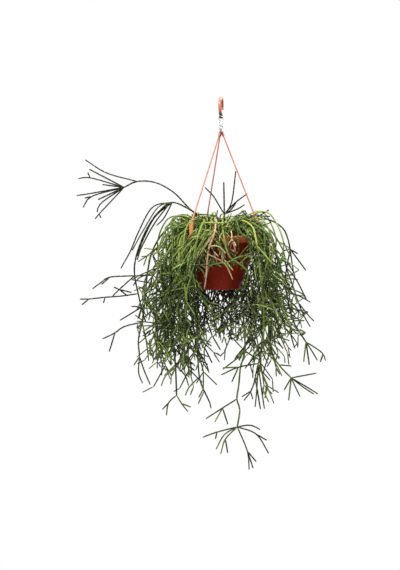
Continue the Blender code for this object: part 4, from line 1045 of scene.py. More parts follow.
# The sprays that the outline shows one by one. Roots are (across, depth), stems (across, depth, height) and
# twigs (across, height), all in millimetres.
GUIDES = (
    Guide("spray_high_left", (-24, 14), (
        (-27, 16, -205), (-53, 20, -181), (-79, 24, -154), (-110, 27, -137), (-141, 30, -135),
        (-163, 30, -145),
    ), (
        twig(4, (-192, -121), (-228, -99)), twig(5, (-222, -114)),
        twig(5, (-220, -129), (-240, -131), twig(0, (-224, -120))), twig(5, (-200, -140)),
        twig(5, (-222, -156), (-243, -159)), twig(5, (-218, -160), (-233, -179), twig(0, (-230, -163))),
        twig(5, (-207, -166)), twig(5, (-203, -172), (-209, -187)),
        twig(5, (-205, -190), (-212, -199), twig(0, (-202, -197))),
    )),
    Guide("spray_arch_left", (-34, -4), (
        (-36, -6, -198), (-54, -8, -183), (-81, -10, -172), (-102, -12, -186), (-120, -14, -210),
        (-134, -16, -240), (-143, -18, -270), (-144, -20, -295), (-138, -22, -325), (-133, -22, -348),
        (-126, -20, -372),
    ), (
        twig(2, (-114, -180), (-138, -223), (-150, -252), (-167, -283)),
        twig(2, (-110, -196), (-131, -236), (-140, -262)), twig(2, (-96, -200), (-108, -211)),
        twig(7, (-185, -297), (-196, -303), (-215, -317), twig(0, (-200, -310))), twig(7, (-111, -294)),
        twig(7, (-170, -318), (-181, -329), twig(0, (-179, -314)), twig(0, (-156, -329)),
             twig(0, (-149, -323))),
        twig(8, (-166, -329), (-193, -331), (-220, -334), (-235, -334), twig(1, (-196, -341)),
             twig(2, (-232, -344))),
        twig(9, (-169, -370)), twig(10, (-161, -380), (-177, -391), (-198, -401), twig(1, (-187, -423))),
    )),
    Guide("spray_crown", (5, 8), (
        (5, 8, -212), (6, 9, -191),
    ), (
        twig(1, (-5, -173), (-13, -160), (-27, -146)), twig(1, (5, -137)), twig(1, (18, -172), (25, -119)),
        twig(1, (25, -171), (45, -156)), twig(1, (29, -182), (40, -175)), twig(1, (17, -184), (26, -171)),
    )),
    Guide("spray_arch_right", (34, 8), (
        (36, 8, -211), (49, 6, -201), (79, 3, -200), (103, 0, -214), (112, -2, -232), (116, -4, -250),
    ), (
        twig(1, (64, -194), (81, -184), twig(0, (83, -195))), twig(1, (35, -185)),
        twig(5, (119, -272), (122, -291)), twig(5, (143, -286)), twig(5, (129, -258)),
        twig(5, (105, -253), (99, -263)), twig(5, (108, -299), (114, -309)),
    )),
    Guide("spray_right_edge", (44, -4), (
        (50, -5, -208), (80, -6, -216), (104, -8, -252), (110, -10, -282), (121, -8, -312), (131, -6, -342),
    ), (
        twig(3, (126, -300), (144, -335)), twig(5, (141, -363), (152, -382)),
        twig(5, (148, -362), (158, -372)), twig(4, (103, -340), (98, -356)),
    )),
    Guide("spray_low_right", (36, -30), (
        (42, -35, -206), (76, -58, -226), (92, -60, -262), (104, -54, -305), (112, -46, -340),
        (120, -38, -370), (130, -34, -388), (142, -30, -406),
    ), (
        twig(5, (139, -370)), twig(5, (115, -386), (123, -417)), twig(7, (138, -440)), twig(7, (148, -445)),
        twig(7, (153, -423), (161, -437)),
        twig(7, (158, -416), (171, -426), (175, -438), twig(1, (166, -440))),
    )),
    Guide("spray_star_right", (46, 13), (
        (56, 16, -209), (84, 24, -226), (98, 26, -270), (92, 24, -320), (84, 18, -370), (88, 12, -420),
        (102, 6, -446), (123, 0, -468),
    ), (
        twig(6, (120, -448)), twig(7, (162, -460)), twig(7, (143, -482), (164, -495)),
        twig(7, (141, -485), (158, -496)), twig(7, (134, -500)), twig(7, (115, -507)), twig(7, (107, -489)),
        twig(5, (76, -447), (72, -462)), twig(4, (102, -392), (108, -410)),
    )),
    Guide("spray_bottom", (2, -44), (
        (2, -52, -206), (3, -78, -226), (12, -82, -262), (30, -78, -276), (44, -72, -291), (38, -60, -318),
        (33, -50, -340), (38, -40, -372), (40, -32, -421), (33, -27, -448), (30, -22, -480), (27, -18, -503),
        (32, -14, -522), (28, -10, -551),
    ), (
        twig(8, (29, -432), (3, -452)), twig(8, (52, -429), (64, -436)),
        twig(11, (3, -518), (-25, -536), twig(0, (-10, -542)), twig(0, (12, -546))),
        twig(13, (-6, -560), (-30, -569), twig(0, (-9, -572))), twig(13, (6, -564), (-8, -589)),
        twig(13, (8, -572), (0, -598), twig(0, (12, -596))),
        twig(13, (60, -563), (81, -596), twig(0, (78, -574))), twig(13, (50, -548), (67, -556)),
        twig(13, (45, -592), (48, -624), twig(0, (55, -622)), twig(0, (60, -610))),
        twig(3, (46, -262), (54, -280)),
    )),
    Guide("spray_cluster", (24, -20), (
        (30, -25, -204), (52, -58, -214), (60, -78, -246), (66, -76, -290), (72, -66, -340), (74, -54, -386),
        (71, -44, -420), (66, -38, -442),
    ), (
        twig(7, (29, -448), (0, -461), twig(0, (3, -449)), twig(0, (18, -473))),
        twig(6, (85, -432), (102, -463)), twig(7, (60, -482), (57, -515), twig(0, (66, -519))),
        twig(7, (67, -480), (73, -519), twig(0, (80, -507))), twig(7, (52, -484), (38, -504)),
        twig(7, (76, -478), (89, -510), twig(0, (74, -500))), twig(6, (50, -437), (40, -450)),
        twig(4, (88, -360), (96, -378)), twig(2, (72, -262), (84, -276)),
    )),
    Guide("spray_left_fork", (-42, -20), (
        (-48, -24, -206), (-84, -48, -222), (-98, -56, -262), (-98, -50, -310), (-88, -44, -352),
        (-80, -38, -400), (-76, -32, -445), (-74, -28, -496),
    ), (
        twig(7, (-88, -509), (-91, -530), twig(0, (-98, -520))),
        twig(7, (-66, -510), (-55, -524), twig(0, (-50, -516))), twig(6, (-92, -462), (-100, -480)),
        twig(6, (-60, -462), (-54, -480)), twig(5, (-100, -420), (-110, -436)),
        twig(4, (-104, -372), (-116, -380)), twig(4, (-68, -376), (-60, -396)),
    )),
    Guide("spray_left_edge", (-46, 10), (
        (-54, 12, -207), (-90, 18, -216), (-114, 20, -250), (-124, 20, -292), (-128, 18, -336),
        (-133, 14, -374), (-139, 10, -404), (-137, 8, -432),
    ), (
        twig(7, (-147, -447)), twig(7, (-139, -460), (-132, -478)), twig(7, (-130, -454), (-119, -480)),
        twig(5, (-126, -405), (-122, -440), twig(0, (-114, -424))), twig(2, (-130, -248)),
        twig(3, (-140, -300), (-148, -312)), twig(4, (-112, -352), (-104, -370)),
    )),
    Guide("spray_under_pot", (-4, 40), (
        (-4, 48, -205), (-8, 78, -222), (-18, 80, -275), (-26, 66, -325), (-24, 52, -366), (-14, 44, -398),
    ), (
        twig(5, (0, -422)), twig(5, (-27, -418), (-27, -440), twig(0, (-14, -445))),
        twig(4, (-44, -396), (-52, -412)), twig(3, (-8, -352), (2, -368)), twig(2, (-6, -300), (0, -322)),
    )),
    Guide("spray_low_left", (-30, 30), (
        (-36, 38, -206), (-60, 66, -222), (-66, 74, -268), (-58, 62, -320), (-48, 48, -372), (-40, 38, -420),
        (-36, 30, -468), (-28, 24, -492),
    ), (
        twig(7, (-18, -512), (-16, -522)), twig(7, (-38, -514)), twig(6, (-54, -486), (-60, -500)),
        twig(5, (-26, -442), (-20, -458)), twig(5, (-56, -440), (-62, -456)),
        twig(4, (-68, -396), (-76, -410)), twig(3, (-40, -346), (-34, -364)),
    )),
    Guide("spray_front_curl", (-10, -38), (
        (-9, -48, -202), (-11, -80, -224), (-19, -84, -247), (-22, -82, -260), (-25, -80, -300),
    ), (
        twig(0, (-6, -186)), twig(1, (-34, -258), (-43, -271)), twig(2, (-4, -247), (7, -259)),
        twig(3, (-7, -267), (8, -278), (19, -302)), twig(4, (-28, -318)),
    )),
    Guide("spray_front_left", (-24, -32), (
        (-26, -46, -204), (-36, -76, -228), (-46, -78, -272), (-67, -72, -297), (-84, -62, -318),
    ), (
        twig(1, (-56, -246), (-66, -262)), twig(2, (-30, -288), (-26, -302)),
        twig(3, (-60, -312), (-62, -330)), twig(4, (-98, -330), (-104, -348)), twig(4, (-84, -345)),
    )),
    Guide("spray_front_right", (22, -40), (
        (24, -50, -204), (34, -76, -226), (52, -80, -238), (63, -80, -259), (79, -74, -298), (98, -66, -320),
    ), (
        twig(1, (46, -236), (47, -262)), twig(3, (56, -276), (58, -292)), twig(4, (68, -314), (66, -334)),
        twig(5, (112, -334), (118, -352)), twig(5, (96, -348)),
    )),
)


def run_gaps(start: Array, end: Array, starts: Array, ends: Array) -> Array:
    """The distance from one straight run to each of many others."""
    along, others = end - start, ends - starts
    between = start - starts
    aa = float(along @ along)
    bb = np.einsum("ij,ij->i", others, others)
    ab = others @ along
    ac = between @ along
    bc = np.einsum("ij,ij->i", others, between)
    spread = np.maximum(aa * bb - ab * ab, 1e-18)
    s = np.clip((ab * bc - ac * bb) / spread, 0, 1)
    t = np.clip((ab * s + bc) / bb, 0, 1)
    s = np.clip((ab * t - ac) / aa, 0, 1)
    nearest = between + s[:, None] * along - t[:, None] * others
    return np.sqrt(np.einsum("ij,ij->i", nearest, nearest))


def square_to(ahead: Array, hint: Sequence[float]) -> tuple[Array, Array, Array]:
    """The way ahead as a unit vector, and two that stand square to it and to each other."""
    ahead = ahead / np.linalg.norm(ahead)
    across = np.cross(ahead, hint)
    across = across / np.linalg.norm(across)
    return ahead, across, np.cross(ahead, across)


@dataclass(frozen=True)
class Growth:
    """The sizes and chances of the rule that the sprays follow, as the CAD has them."""

    seed: int = 41
    root_deep: float = 12 * MM
    hole_radius: float = 2.8 * MM
    stem_radius: float = 2.1 * MM
    twig_radius: float = 1.5 * MM
    stem_clear: float = 0.7 * MM
    root_rise: float = 4 * MM
    under_pot: float = 4 * MM
    depth_shifts: tuple[int, ...] = (0, 4, -4, 8, -8, 12, -12, 16, -16, 20, -20)
    side_shifts: tuple[int, ...] = (0, 4, -4, 8, -8)
    twig_tries: Row = (0, 0.25, -0.25, 0.5, -0.5, 0.8, -0.8, 1.1, -1.1)
    lean_depth: float = 0.6
    lean_least: float = 0.15
    view_slope: float = math.tan(math.radians(5.5))
    outer_count: int = 18
    inner_count: int = 13
    first_azimuth: float = -47
    last_azimuth: float = 247
    step_down: float = 42 * MM
    route_slips: tuple[int, ...] = (0, 4, -4, 8, -8, 12, -12, 16)
    route_tries: int = 60
    turn_spread: float = 5.5
    reach_spread: float = 8 * MM
    drop_spread: float = 6 * MM
    curtain_spread: Pair = (30 * MM, 90 * MM)
    forked: Row = (0.5, 0.3, 0.2)
    twig_long: Pair = (24 * MM, 42 * MM)
    fork_long: Pair = (13 * MM, 24 * MM)
    twig_angle: Pair = (28, 52)
    free_tries: int = 24
    outward: float = 0.12
    downward: float = 0.18
    curtain_x: Row = (-130, -90, -45, -20, 25, 45, 70, 105, 130)
    curtain_z: Row = (-500, -515, -480, -415, -400, -455, -495, -480, -440)


RULE = Growth()


@dataclass
class Branch:
    """One stem or twig: its points, what it is, and how its skin looks."""

    points: Array
    kind: Kind
    tone: float = 0.5
    age: float = 0.0
    thick: float = 1.0


class Room:
    """Knows every run placed so far, and says whether a new one stays clear of them and of the pot."""

    def __init__(self) -> None:
        """Starts with the hanger's runs."""
        self.starts = np.empty((0, 3))
        self.ends = np.empty((0, 3))
        self.radii = np.empty(0)
        self.owners: list[str] = []
        outside = outer_profile()[::-1]
        self.pot_z = np.array([z for _, z in outside])
        self.pot_radius = np.array([radius for radius, _ in outside])
        self.add_hanger()

    def add_hanger(self) -> None:
        """Claims the strands and their clips."""
        for azimuth in STRAND_AZIMUTHS.values():
            upper, lower = strand_line(azimuth)
            self.add([upper, lower], STRAND_RADIUS, "hanger")
            outward = turned_about(math.radians(azimuth)) * (LIP_RADIUS - MM)
            clip = [pot_axis(CLIP_TOP) + outward, pot_axis(RIM_Z - LIP_TALL - 3 * MM) + outward]
            self.add(clip, CLIP_WIDE / 2 + 1.5 * MM, "hanger")

    def add(self, points: Sequence, radius: float, owner: str) -> None:
        """Claims the runs between these points."""
        places = np.array([tuple(point) for point in points])
        self.starts = np.vstack([self.starts, places[:-1]])
        self.ends = np.vstack([self.ends, places[1:]])
        self.radii = np.append(self.radii, np.full(len(places) - 1, radius))
        self.owners += [owner] * (len(places) - 1)

    def clear_of_pot(self, points: Array, radius: float) -> bool:
        """Samples the runs against the pot's wall, its soil and the space under its foot."""
        clear = radius + RULE.stem_clear
        for start, end in zip(points[:-1], points[1:]):
            count = max(2, int(np.linalg.norm(end - start) / (2 * MM)))
            path = start + np.linspace(0, 1, count)[:, None] * (end - start)
            reach = np.hypot(path[:, 0] - POT_CENTRE[0], path[:, 1] - POT_CENTRE[1])
            z = path[:, 2]
            outer = np.interp(z, self.pot_z, self.pot_radius)
            outside = (reach > outer + clear) | (z < self.pot_z[0] - RULE.under_pot - clear)
            inside = (reach < LIP_INNER - clear) & (z > SOIL_Z + clear)
            above = z > RIM_Z + clear
            if not (outside | inside | above).all():
                return False
        return True

    def keeps_off(self, points: Sequence, radius: float, which: Any, apart: float) -> bool:
        """Whether the runs keep off the pot and, by this much, off those of the placed runs."""
        places = np.array([tuple(point) for point in points])
        starts, ends, radii = self.starts[which], self.ends[which], self.radii[which]
        return self.clear_of_pot(places, radius) and all(
            (run_gaps(start, end, starts, ends) >= radii + radius + apart).all()
            for start, end in zip(places[:-1], places[1:]))

    def is_clear(self, points: Sequence, radius: float, owner: str) -> bool:
        """Whether the runs keep off the pot and off every run of another spray."""
        others = np.array([name != owner for name in self.owners])
        return self.keeps_off(points, radius, others, RULE.stem_clear)

    def clears_hanger(self, points: Sequence, radius: float) -> bool:
        """Whether the runs keep off the pot, the strands and the clips, whatever other stems they cross."""
        return self.keeps_off(points, radius, slice(2 * len(STRAND_AZIMUTHS)), 0)


class Grower:
    """Grows the sprays one after another, each clear of those before it."""

    def __init__(self) -> None:
        """Starts with bare soil."""
        self.room = Room()
        self.sprays: dict[str, list[Branch]] = {}
        self.roots: list[Array] = []
        self.chance = np.random.default_rng(RULE.seed)

    def start(self, name: str, root: Array) -> list[Array]:
        """Claims a root and its upright run, so that later sprays keep off it."""
        self.sprays[name] = []
        self.roots.append(root)
        low = [np.array([*root, SOIL_Z - RULE.root_deep]), np.array([*root, SOIL_Z + RULE.root_rise])]
        self.room.add(low, RULE.hole_radius, name)
        return low

    def keep(self, name: str, points: Sequence, kind: Kind) -> None:
        """Adds a stem or a twig to its spray."""
        self.sprays[name].append(Branch(np.array(points), kind))
        self.room.add(points, RULE.stem_radius if kind is Kind.STEM else RULE.twig_radius, name)

    def grow_guide(self, guide: Guide) -> None:
        """A spray that is drawn through listed points."""
        name = guide.name
        low = self.start(name, np.array(guide.root) * MM)
        stem = [np.array([x, y, z - y * RULE.view_slope]) * MM for x, y, z in guide.stem]
        route = self.shifted(stem, low, name)
        self.keep(name, low + route, Kind.STEM)
        for number, branch in enumerate(guide.twigs):
            self.grow_twig(name, branch, route, number)

    def shifted(self, stem: list[Array], low: list[Array], name: str) -> list[Array]:
        """The stem, moved a little in depth until it is clear."""
        for shift in RULE.depth_shifts:
            for side in RULE.side_shifts:
                ramp = np.linspace(0.2, 1, len(stem))
                moved = [point + np.array([side, shift, 0]) * MM * part for point, part in zip(stem, ramp)]
                if self.room.is_clear([low[-1]] + moved, RULE.stem_radius, name):
                    return moved
        raise ValueError(f"{name} finds no clear way for its stem")

    def grow_twig(self, name: str, branch: Twig, parent: Sequence, number: int) -> None:
        """A twig through its guide points, leaning forward or back until it is clear."""
        start = parent[branch.at]
        sign = 1 if number % 2 else -1
        for lean in RULE.twig_tries:
            points = self.leaning(start, branch.path, (lean + RULE.lean_least) * sign)
            if self.room.is_clear(points, RULE.twig_radius, name):
                self.keep(name, points, Kind.TWIG)
                for order, fork in enumerate(branch.forks):
                    self.grow_twig(name, fork, points[1:], number + order + 1)
                return

    def leaning(self, start: Array, path: Sequence, lean: float) -> list[Array]:
        """The guide points with a depth that grows with their distance."""
        points = [start]
        seen_start = start[2] + start[1] * RULE.view_slope
        for across, height in path:
            far = math.hypot(across * MM - start[0], height * MM - seen_start)
            depth = start[1] + lean * far * RULE.lean_depth
            points.append(np.array([across * MM, depth, height * MM - depth * RULE.view_slope]))
        return points

    def grow_trailing(self, name: str, azimuth: float, root_radius: float, crest: float, hang: float) -> None:
        """A stem that rises, arches over the rim and hangs, with forked twigs all the way down."""
        best = None
        for slip in RULE.route_slips:
            root = self.free_root(azimuth + slip, root_radius)
            rise = np.array([*root, SOIL_Z + RULE.root_rise])
            route, whole = self.trailing_route(name, rise, azimuth + slip, root_radius, crest, hang)
            if best is None or len(route) > len(best[1]):
                best = root, route
            if whole:
                break
        root, route = best
        low = self.start(name, root)
        self.keep(name, low + route, Kind.STEM)
        for number in range(3, len(route) - 1):
            self.grow_whorl(name, route, number, 1 + number // 4 % 2)
        self.grow_whorl(name, route, len(route) - 1, 3)

    def free_root(self, azimuth: float, radius: float) -> Array:
        """The nearest place to the wanted root that is far enough from every other root."""
        choices = []
        for turn in range(-24, 25, 4):
            for inward in range(0, 25, 4):
                place = round_pot(azimuth + turn, radius - inward * MM, 0)[:2]
                if all(np.hypot(*(place - other)) > 2.3 * RULE.hole_radius for other in self.roots):
                    choices.append((abs(turn) + inward, place))
        return min(choices, key=lambda choice: choice[0])[1]

    def trailing_route(self, name: str, rise: Array, azimuth: float, root_radius: float, crest: float,
                       hang: float) -> tuple[list[Array], bool]:
        """Each point is drawn again until the run to it is clear."""
        over = max(root_radius + 8 * MM, 60 * MM)
        plan = [
            (root_radius + 3 * MM, RIM_Z + 5 * MM),
            (over, RIM_Z + crest),
            ((over + 2 * hang) / 3, RIM_Z + crest - 3 * MM),
            (hang, RIM_Z - 14 * MM),
        ]
        across = hang / MM * math.cos(math.radians(azimuth))
        lowest = np.interp(across, RULE.curtain_x, RULE.curtain_z) * MM
        lowest += self.chance.uniform(*RULE.curtain_spread)
        route: list[Array] = []
        turn, step = azimuth, 0
        while True:
            if step < len(plan):
                reach, z = plan[step]
            else:
                reach, z = hang, route[-1][2] - RULE.step_down
            if z < lowest:
                return route, True
            found = self.next_point(name, route[-1] if route else rise, turn, reach, z, step)
            if found is None:
                return route, False
            point, turn = found
            route.append(point)
            step += 1

    def next_point(self, name: str, last: Array, turn: float, reach: float, z: float,
                   step: int) -> Optional[tuple[Array, float]]:
        """A point near the planned one, drawn again and more widely until the run to it is clear."""
        for attempt in range(RULE.route_tries):
            wide = min(1, 0.6 + attempt / RULE.route_tries) * (0.3 if step < 2 else 1)
            new_turn = turn + self.chance.normal(0, RULE.turn_spread) * wide
            out = reach + self.chance.normal(0, RULE.reach_spread) * wide
            new_z = z + self.chance.uniform(-RULE.drop_spread, RULE.drop_spread) * wide
            point = round_pot(new_turn, out, new_z)
            if self.room.is_clear([last, point], RULE.stem_radius, name):
                return point, new_turn
        return None

    def grow_whorl(self, name: str, route: Sequence, number: int, count: int) -> None:
        """Twigs spread round one point of the stem, most of them forked at the end."""
        start = route[number]
        ahead = start - route[number - 1]
        first = self.chance.uniform(0, 360)
        for order in range(count):
            length = self.chance.uniform(*RULE.twig_long)
            tip = self.grow_free_twig(name, start, ahead, length, first + order * 360 / count)
            if tip is None:
                continue
            side = self.chance.uniform(0, 360)
            for turn in (0, 180)[: int(self.chance.choice(3, p=RULE.forked))]:
                self.grow_free_twig(name, tip, tip - start, self.chance.uniform(*RULE.fork_long), side + turn)

    def grow_free_twig(self, name: str, start: Array, ahead: Array, length: float,
                       side: float) -> Optional[Array]:
        """One straight twig that leaves on about this side and leans down and outward.

        Args:
            name: its spray.
            start: where it leaves its parent.
            ahead: the way that the parent runs there.
            length: how long it is.
            side: the side that it leaves on, in degrees.

        Returns:
            Its tip, or None where there is no room.
        """
        ahead, across, upward = square_to(ahead, (0, 1, 0.3))
        outward = start - (*POT_CENTRE, start[2])
        outward = outward / max(np.linalg.norm(outward), MM)
        lean = outward * RULE.outward - (0, 0, RULE.downward)
        for attempt in range(RULE.free_tries):
            angle = math.radians(self.chance.uniform(*RULE.twig_angle))
            turn = math.radians(side + self.chance.normal(0, 12 + 3 * attempt))
            sideways = across * math.cos(turn) + upward * math.sin(turn)
            way = ahead * math.cos(angle) + sideways * math.sin(angle) + lean
            tip = start + way / np.linalg.norm(way) * length
            if self.room.is_clear([start, tip], RULE.twig_radius, name):
                self.keep(name, [start, tip], Kind.TWIG)
                return tip
        return None

    def grow_all(self) -> None:
        """Every spray: first the listed ones, then the curtain round the pot."""
        for guide in GUIDES:
            self.grow_guide(guide)
        span = RULE.last_azimuth - RULE.first_azimuth
        number = 0
        for count, low_radius, high_radius, crest, hang in (
            (RULE.outer_count, 40 * MM, 52 * MM, (12, 19), (74, 92)),
            (RULE.inner_count, 18 * MM, 36 * MM, (26, 34), (90, 108)),
        ):
            for place in range(count):
                number += 1
                azimuth = RULE.first_azimuth + span * (place + 0.5) / count + self.chance.uniform(-3, 3)
                root_radius = self.chance.uniform(low_radius, high_radius)
                rise = self.chance.uniform(*crest) * MM
                out = self.chance.uniform(*hang) * MM
                self.grow_trailing(f"spray_trailing_{number:02d}", azimuth, root_radius, rise, out)


# The finer stems, and the rest of the plant


@dataclass
class Fullness:
    """Grows the many stems that fill the plant out between the sprays of the CAD."""

    room: Room
    seed: int = 77
    # Which way round the hanging stems stand, in degrees, and how many there are
    bands: tuple[tuple[float, float, int], ...] = (
        (-50, 10, 9), (10, 60, 7), (60, 125, 15), (125, 215, 6), (215, 258, 7))
    dome_count: int = 120
    dome_root: float = 46 * MM
    # The part of a full turn from one stem of the dome to the next
    dome_turn: float = 0.618
    front_count: int = 17
    front_turns: Pair = (-128, -48)
    # How far out the stems in front hang, and how far under the rim, in millimetres
    front_plan: tuple[Pair, ...] = ((71, 4), (73, 22), (75, 38), (76, 50))
    # Where the light stems leave the rim, the first and last way that they turn to, how many, and how low
    sweeps: tuple[Row, ...] = (
        (-98, -116, -152, 9, -312), (-74, -56, -22, 7, -300), (240, 216, 236, 6, -286),
        (-26, -4, -20, 5, -280), (206, 214, 240, 10, -292), (236, 226, 200, 10, -284))
    # The middle line of a sweeping stem: share of the turn, reach, and height over the rim, in millimetres
    sweep_plan: tuple[Place, ...] = (
        (0, 44, -17), (0, 48, 3), (0.05, 60, 10), (0.25, 76, -7), (0.55, 85, -30), (0.82, 92, -60))
    sweep_reach: float = 96
    # How often a hanging segment is followed by 1, 2 or 3, and a tuft has 0 to 4 twigs
    split: Row = (0.76, 0.21, 0.03)
    tufted: Row = (0.25, 0.1, 0.3, 0.2, 0.15)
    # Stems beside the left arch: across, depth and height in millimetres
    beside: tuple[tuple[Place, ...], ...] = (
        ((-82, -11, -172), (-104, -13, -178), (-131, -16, -220), (-148, -18, -251)),
        ((-88, -9, -176), (-112, -8, -208), (-133, -10, -247), (-140, -12, -268)),
        ((-133, -20, -349), (-142, -20, -344), (-150, -20, -345)),
    )
    slim: float = 0.8
    stem_clear: float = 1.2 * MM
    twig_clear: float = 1.3 * MM
    route_tries: int = 12
    aim_tries: int = 8
    # How far a stem's points slip, in millimetres
    slip: float = 3
    top: float = -190 * MM
    # The part of the pot's front that stays in view: across from, across to, lowest, highest
    window: Row = (-30 * MM, 32 * MM, -326 * MM, -276 * MM)
    window_depth: float = -20 * MM
    lip_window: Row = (16 * MM, 42 * MM, -240 * MM, -214 * MM)
    lip_depth: float = -40 * MM
    segment: Pair = (25 * MM, 40 * MM)
    # How far a segment turns away: as a rule, where it splits or hangs low, and where it does both
    angles: tuple[Pair, ...] = ((15, 38), (26, 50), (36, 64))
    spreads_below: float = -310 * MM
    longest: int = 9
    low_x: Row = (-140, -115, -75, -45, -30, 30, 50, 100, 125)
    low_z: Row = (-390, -462, -476, -464, -410, -398, -430, -436, -375)
    # How far out the hanging stems may swing at each height, in millimetres
    swing_z: Row = (-440, -330, -270, -235, -200)
    swing: Row = (138, 134, 115, 98, 78)
    closer_behind: float = 26 * MM
    # Where a stem starts to turn back before that limit, and how softly
    turn_back: Pair = (12 * MM, 20 * MM)
    chance: np.random.Generator = field(init=False)

    def __post_init__(self) -> None:
        """Starts the random draws."""
        self.chance = np.random.default_rng(self.seed)

    def between(self, low: float, high: float) -> float:
        """A number drawn from low to high."""
        return self.chance.uniform(low, high)

    def tone(self) -> float:
        """How light a branch's green is, more often dark than light."""
        return self.chance.beta(0.6, 0.75)

    def route(self, azimuth: float, plan: Sequence[Pair], wander: float) -> list[Array]:
        """A stem through (reach, height) pairs, as far as it gets clear of the pot and the hanger."""
        turn = azimuth
        points = [round_pot(azimuth, plan[0][0], plan[0][1])]
        for number, (reach, z) in enumerate(plan[1:]):
            for attempt in range(self.route_tries):
                wide = (1 + attempt / 6) * min(1, 0.3 + number / 3)
                new_turn = turn + self.chance.normal(0, wander) * wide
                out = reach + self.chance.normal(0, self.slip) * MM * wide
                point = round_pot(new_turn, out, z + self.chance.normal(0, self.slip) * MM * wide)
                if number == 0 or self.room.clears_hanger([points[-1], point], self.stem_clear):
                    break
            else:
                return points
            points.append(point)
            turn = new_turn
        return points

    def aimed(self, start: Array, ahead: Array, length: float, angle: Pair, side: float,
              pull: Pair) -> Optional[Array]:
        """A slightly bowed twig that leaves its parent on one side.

        Args:
            start: where it leaves.
            ahead: the way that the parent runs there.
            length: how long it is.
            angle: the least and the most that it turns away, in degrees.
            side: the side that it leaves on, in degrees.
            pull: how much it leans outward and down.

        Returns:
            Its three points, or None where the pot or the hanger is in the way.
        """
        ahead, across, upward = square_to(ahead, (0.2, 1, 0.3))
        out = start - (*POT_CENTRE, start[2])
        reach = max(np.linalg.norm(out), MM)
        limit = np.interp(start[2] / MM, self.swing_z, self.swing) * MM
        limit -= self.closer_behind * max(0.0, out[1] / reach)
        early, soft = self.turn_back
        out = out / reach * (pull[0] - max(0.0, reach - limit + early) / soft)
        for attempt in range(self.aim_tries):
            turn = math.radians(side + self.chance.normal(0, 12 + 8 * attempt))
            away = math.radians(self.between(*angle))
            sideways = across * math.cos(turn) + upward * math.sin(turn)
            way = ahead * math.cos(away) + sideways * math.sin(away) + out - (0, 0, pull[1])
            way = way / np.linalg.norm(way)
            bow = sideways * self.between(0, 0.06)
            points = np.array([start, start + (way * 0.5 + bow) * length, start + way * length])
            if points[-1][2] > self.top or self.veils(points[1]) or self.veils(points[2]):
                continue
            if self.room.clears_hanger(points, self.twig_clear):
                return points
        return None

    def over_lip(self, route: Sequence[Array]) -> bool:
        """Whether a stem would hide the stretch of the lip that stays in view."""
        line = np.concatenate([np.linspace(start, end, 6) for start, end in zip(route[:-1], route[1:])])
        left, right, low, high = self.lip_window
        inside = (line[:, 0] > left) & (line[:, 0] < right) & (line[:, 2] > low) & (line[:, 2] < high)
        return bool((inside & (line[:, 1] < self.lip_depth)).any())

    def veils(self, point: Array) -> bool:
        """Whether a point hangs in front of the part of the pot that stays in view."""
        left, right, low, high = self.window
        return bool(point[1] < self.window_depth and left < point[0] < right and low < point[2] < high)

    def hang(self, found: list[Branch], start: Array, ahead: Array, short: float, age: float,
             left: int, least: int = 1) -> None:
        """Segments that split again and again on their way down, and end in a small tuft.

        Args:
            found: where the branches go.
            start: where the segments leave.
            ahead: the way that their parent runs there.
            short: the share of the way down at which they stop short.
            age: how woody they are.
            left: the most segments that may still follow one another.
            least: the least number of segments side by side.
        """
        count = max(least, 1 + int(self.chance.choice(3, p=self.split)))
        first = self.between(0, 360)
        angle = self.angles[int(start[2] < self.spreads_below) + int(count > 1)]
        for order in range(count):
            length = self.between(*self.segment)
            points = self.aimed(start, ahead, length, angle, first + order * 360 / count, (0.04, 0.18))
            if points is None:
                continue
            found.append(Branch(points, Kind.TWIG, self.tone(), age, self.slim))
            across, _, height = points[-1]
            lowest = np.interp(across / MM, self.low_x, self.low_z) * MM
            lowest += (RIM_Z - lowest) * short
            if left > 1 and height - self.segment[0] > lowest:
                self.hang(found, points[-1], points[-1] - points[-2], short, age * 0.7, left - 1)
            else:
                self.tuft(found, points[-1], points[-1] - points[-2], age * 0.5)

    def tuft(self, found: list[Branch], start: Array, ahead: Array, age: float) -> None:
        """A few short twigs at the end of a segment."""
        count = int(self.chance.choice(5, p=self.tufted))
        first = self.between(0, 360)
        for order in range(count):
            length = self.between(10, 22) * MM
            points = self.aimed(start, ahead, length, (16, 42), first + order * 360 / count, (0.05, 0.1))
            if points is not None:
                found.append(Branch(points, Kind.TWIG, self.tone(), age, self.slim * 0.95))

    def tufts(self, found: list[Branch], route: Sequence[Array], first: int, age: float) -> None:
        """A tuft at each point of a stem from this one on."""
        for spot in range(first, len(route)):
            self.tuft(found, route[spot], route[spot] - route[spot - 1], age)

    def curtain(self) -> list[Branch]:
        """Hanging stems all round but in front of the pot."""
        found: list[Branch] = []
        for low, high, count in self.bands:
            for number in range(count):
                azimuth = low + (high - low) * (number + self.between(0, 1)) / count
                self.hanging_stem(found, azimuth)
        return found

    def hanging_stem(self, found: list[Branch], azimuth: float) -> None:
        """One stem that arches over the rim and splits as it hangs."""
        root = self.between(14, 50) * MM
        hang = self.between(71, 86) * MM
        crest = self.between(6, 26) * MM
        over = max(root + 8 * MM, 54 * MM)
        plan = [(root, SOIL_Z - 6 * MM), (root + 3 * MM, SOIL_Z + 12 * MM), (over, RIM_Z + crest),
                (hang - 5 * MM, RIM_Z + crest * 0.5 - 4 * MM), (hang, RIM_Z - 18 * MM)]
        route = self.route(azimuth, plan, 4.5)
        age = max(0.0, self.chance.normal(0.02, 0.15))
        found.append(Branch(np.array(route), Kind.STEM, self.tone(), age, 0.9))
        behind = max(0.0, math.sin(math.radians(azimuth)))
        short = self.between(0, 1) * (0.75 - 0.5 * behind)
        self.hang(found, route[-1], route[-1] - route[-2], short, age, self.longest, least=2)

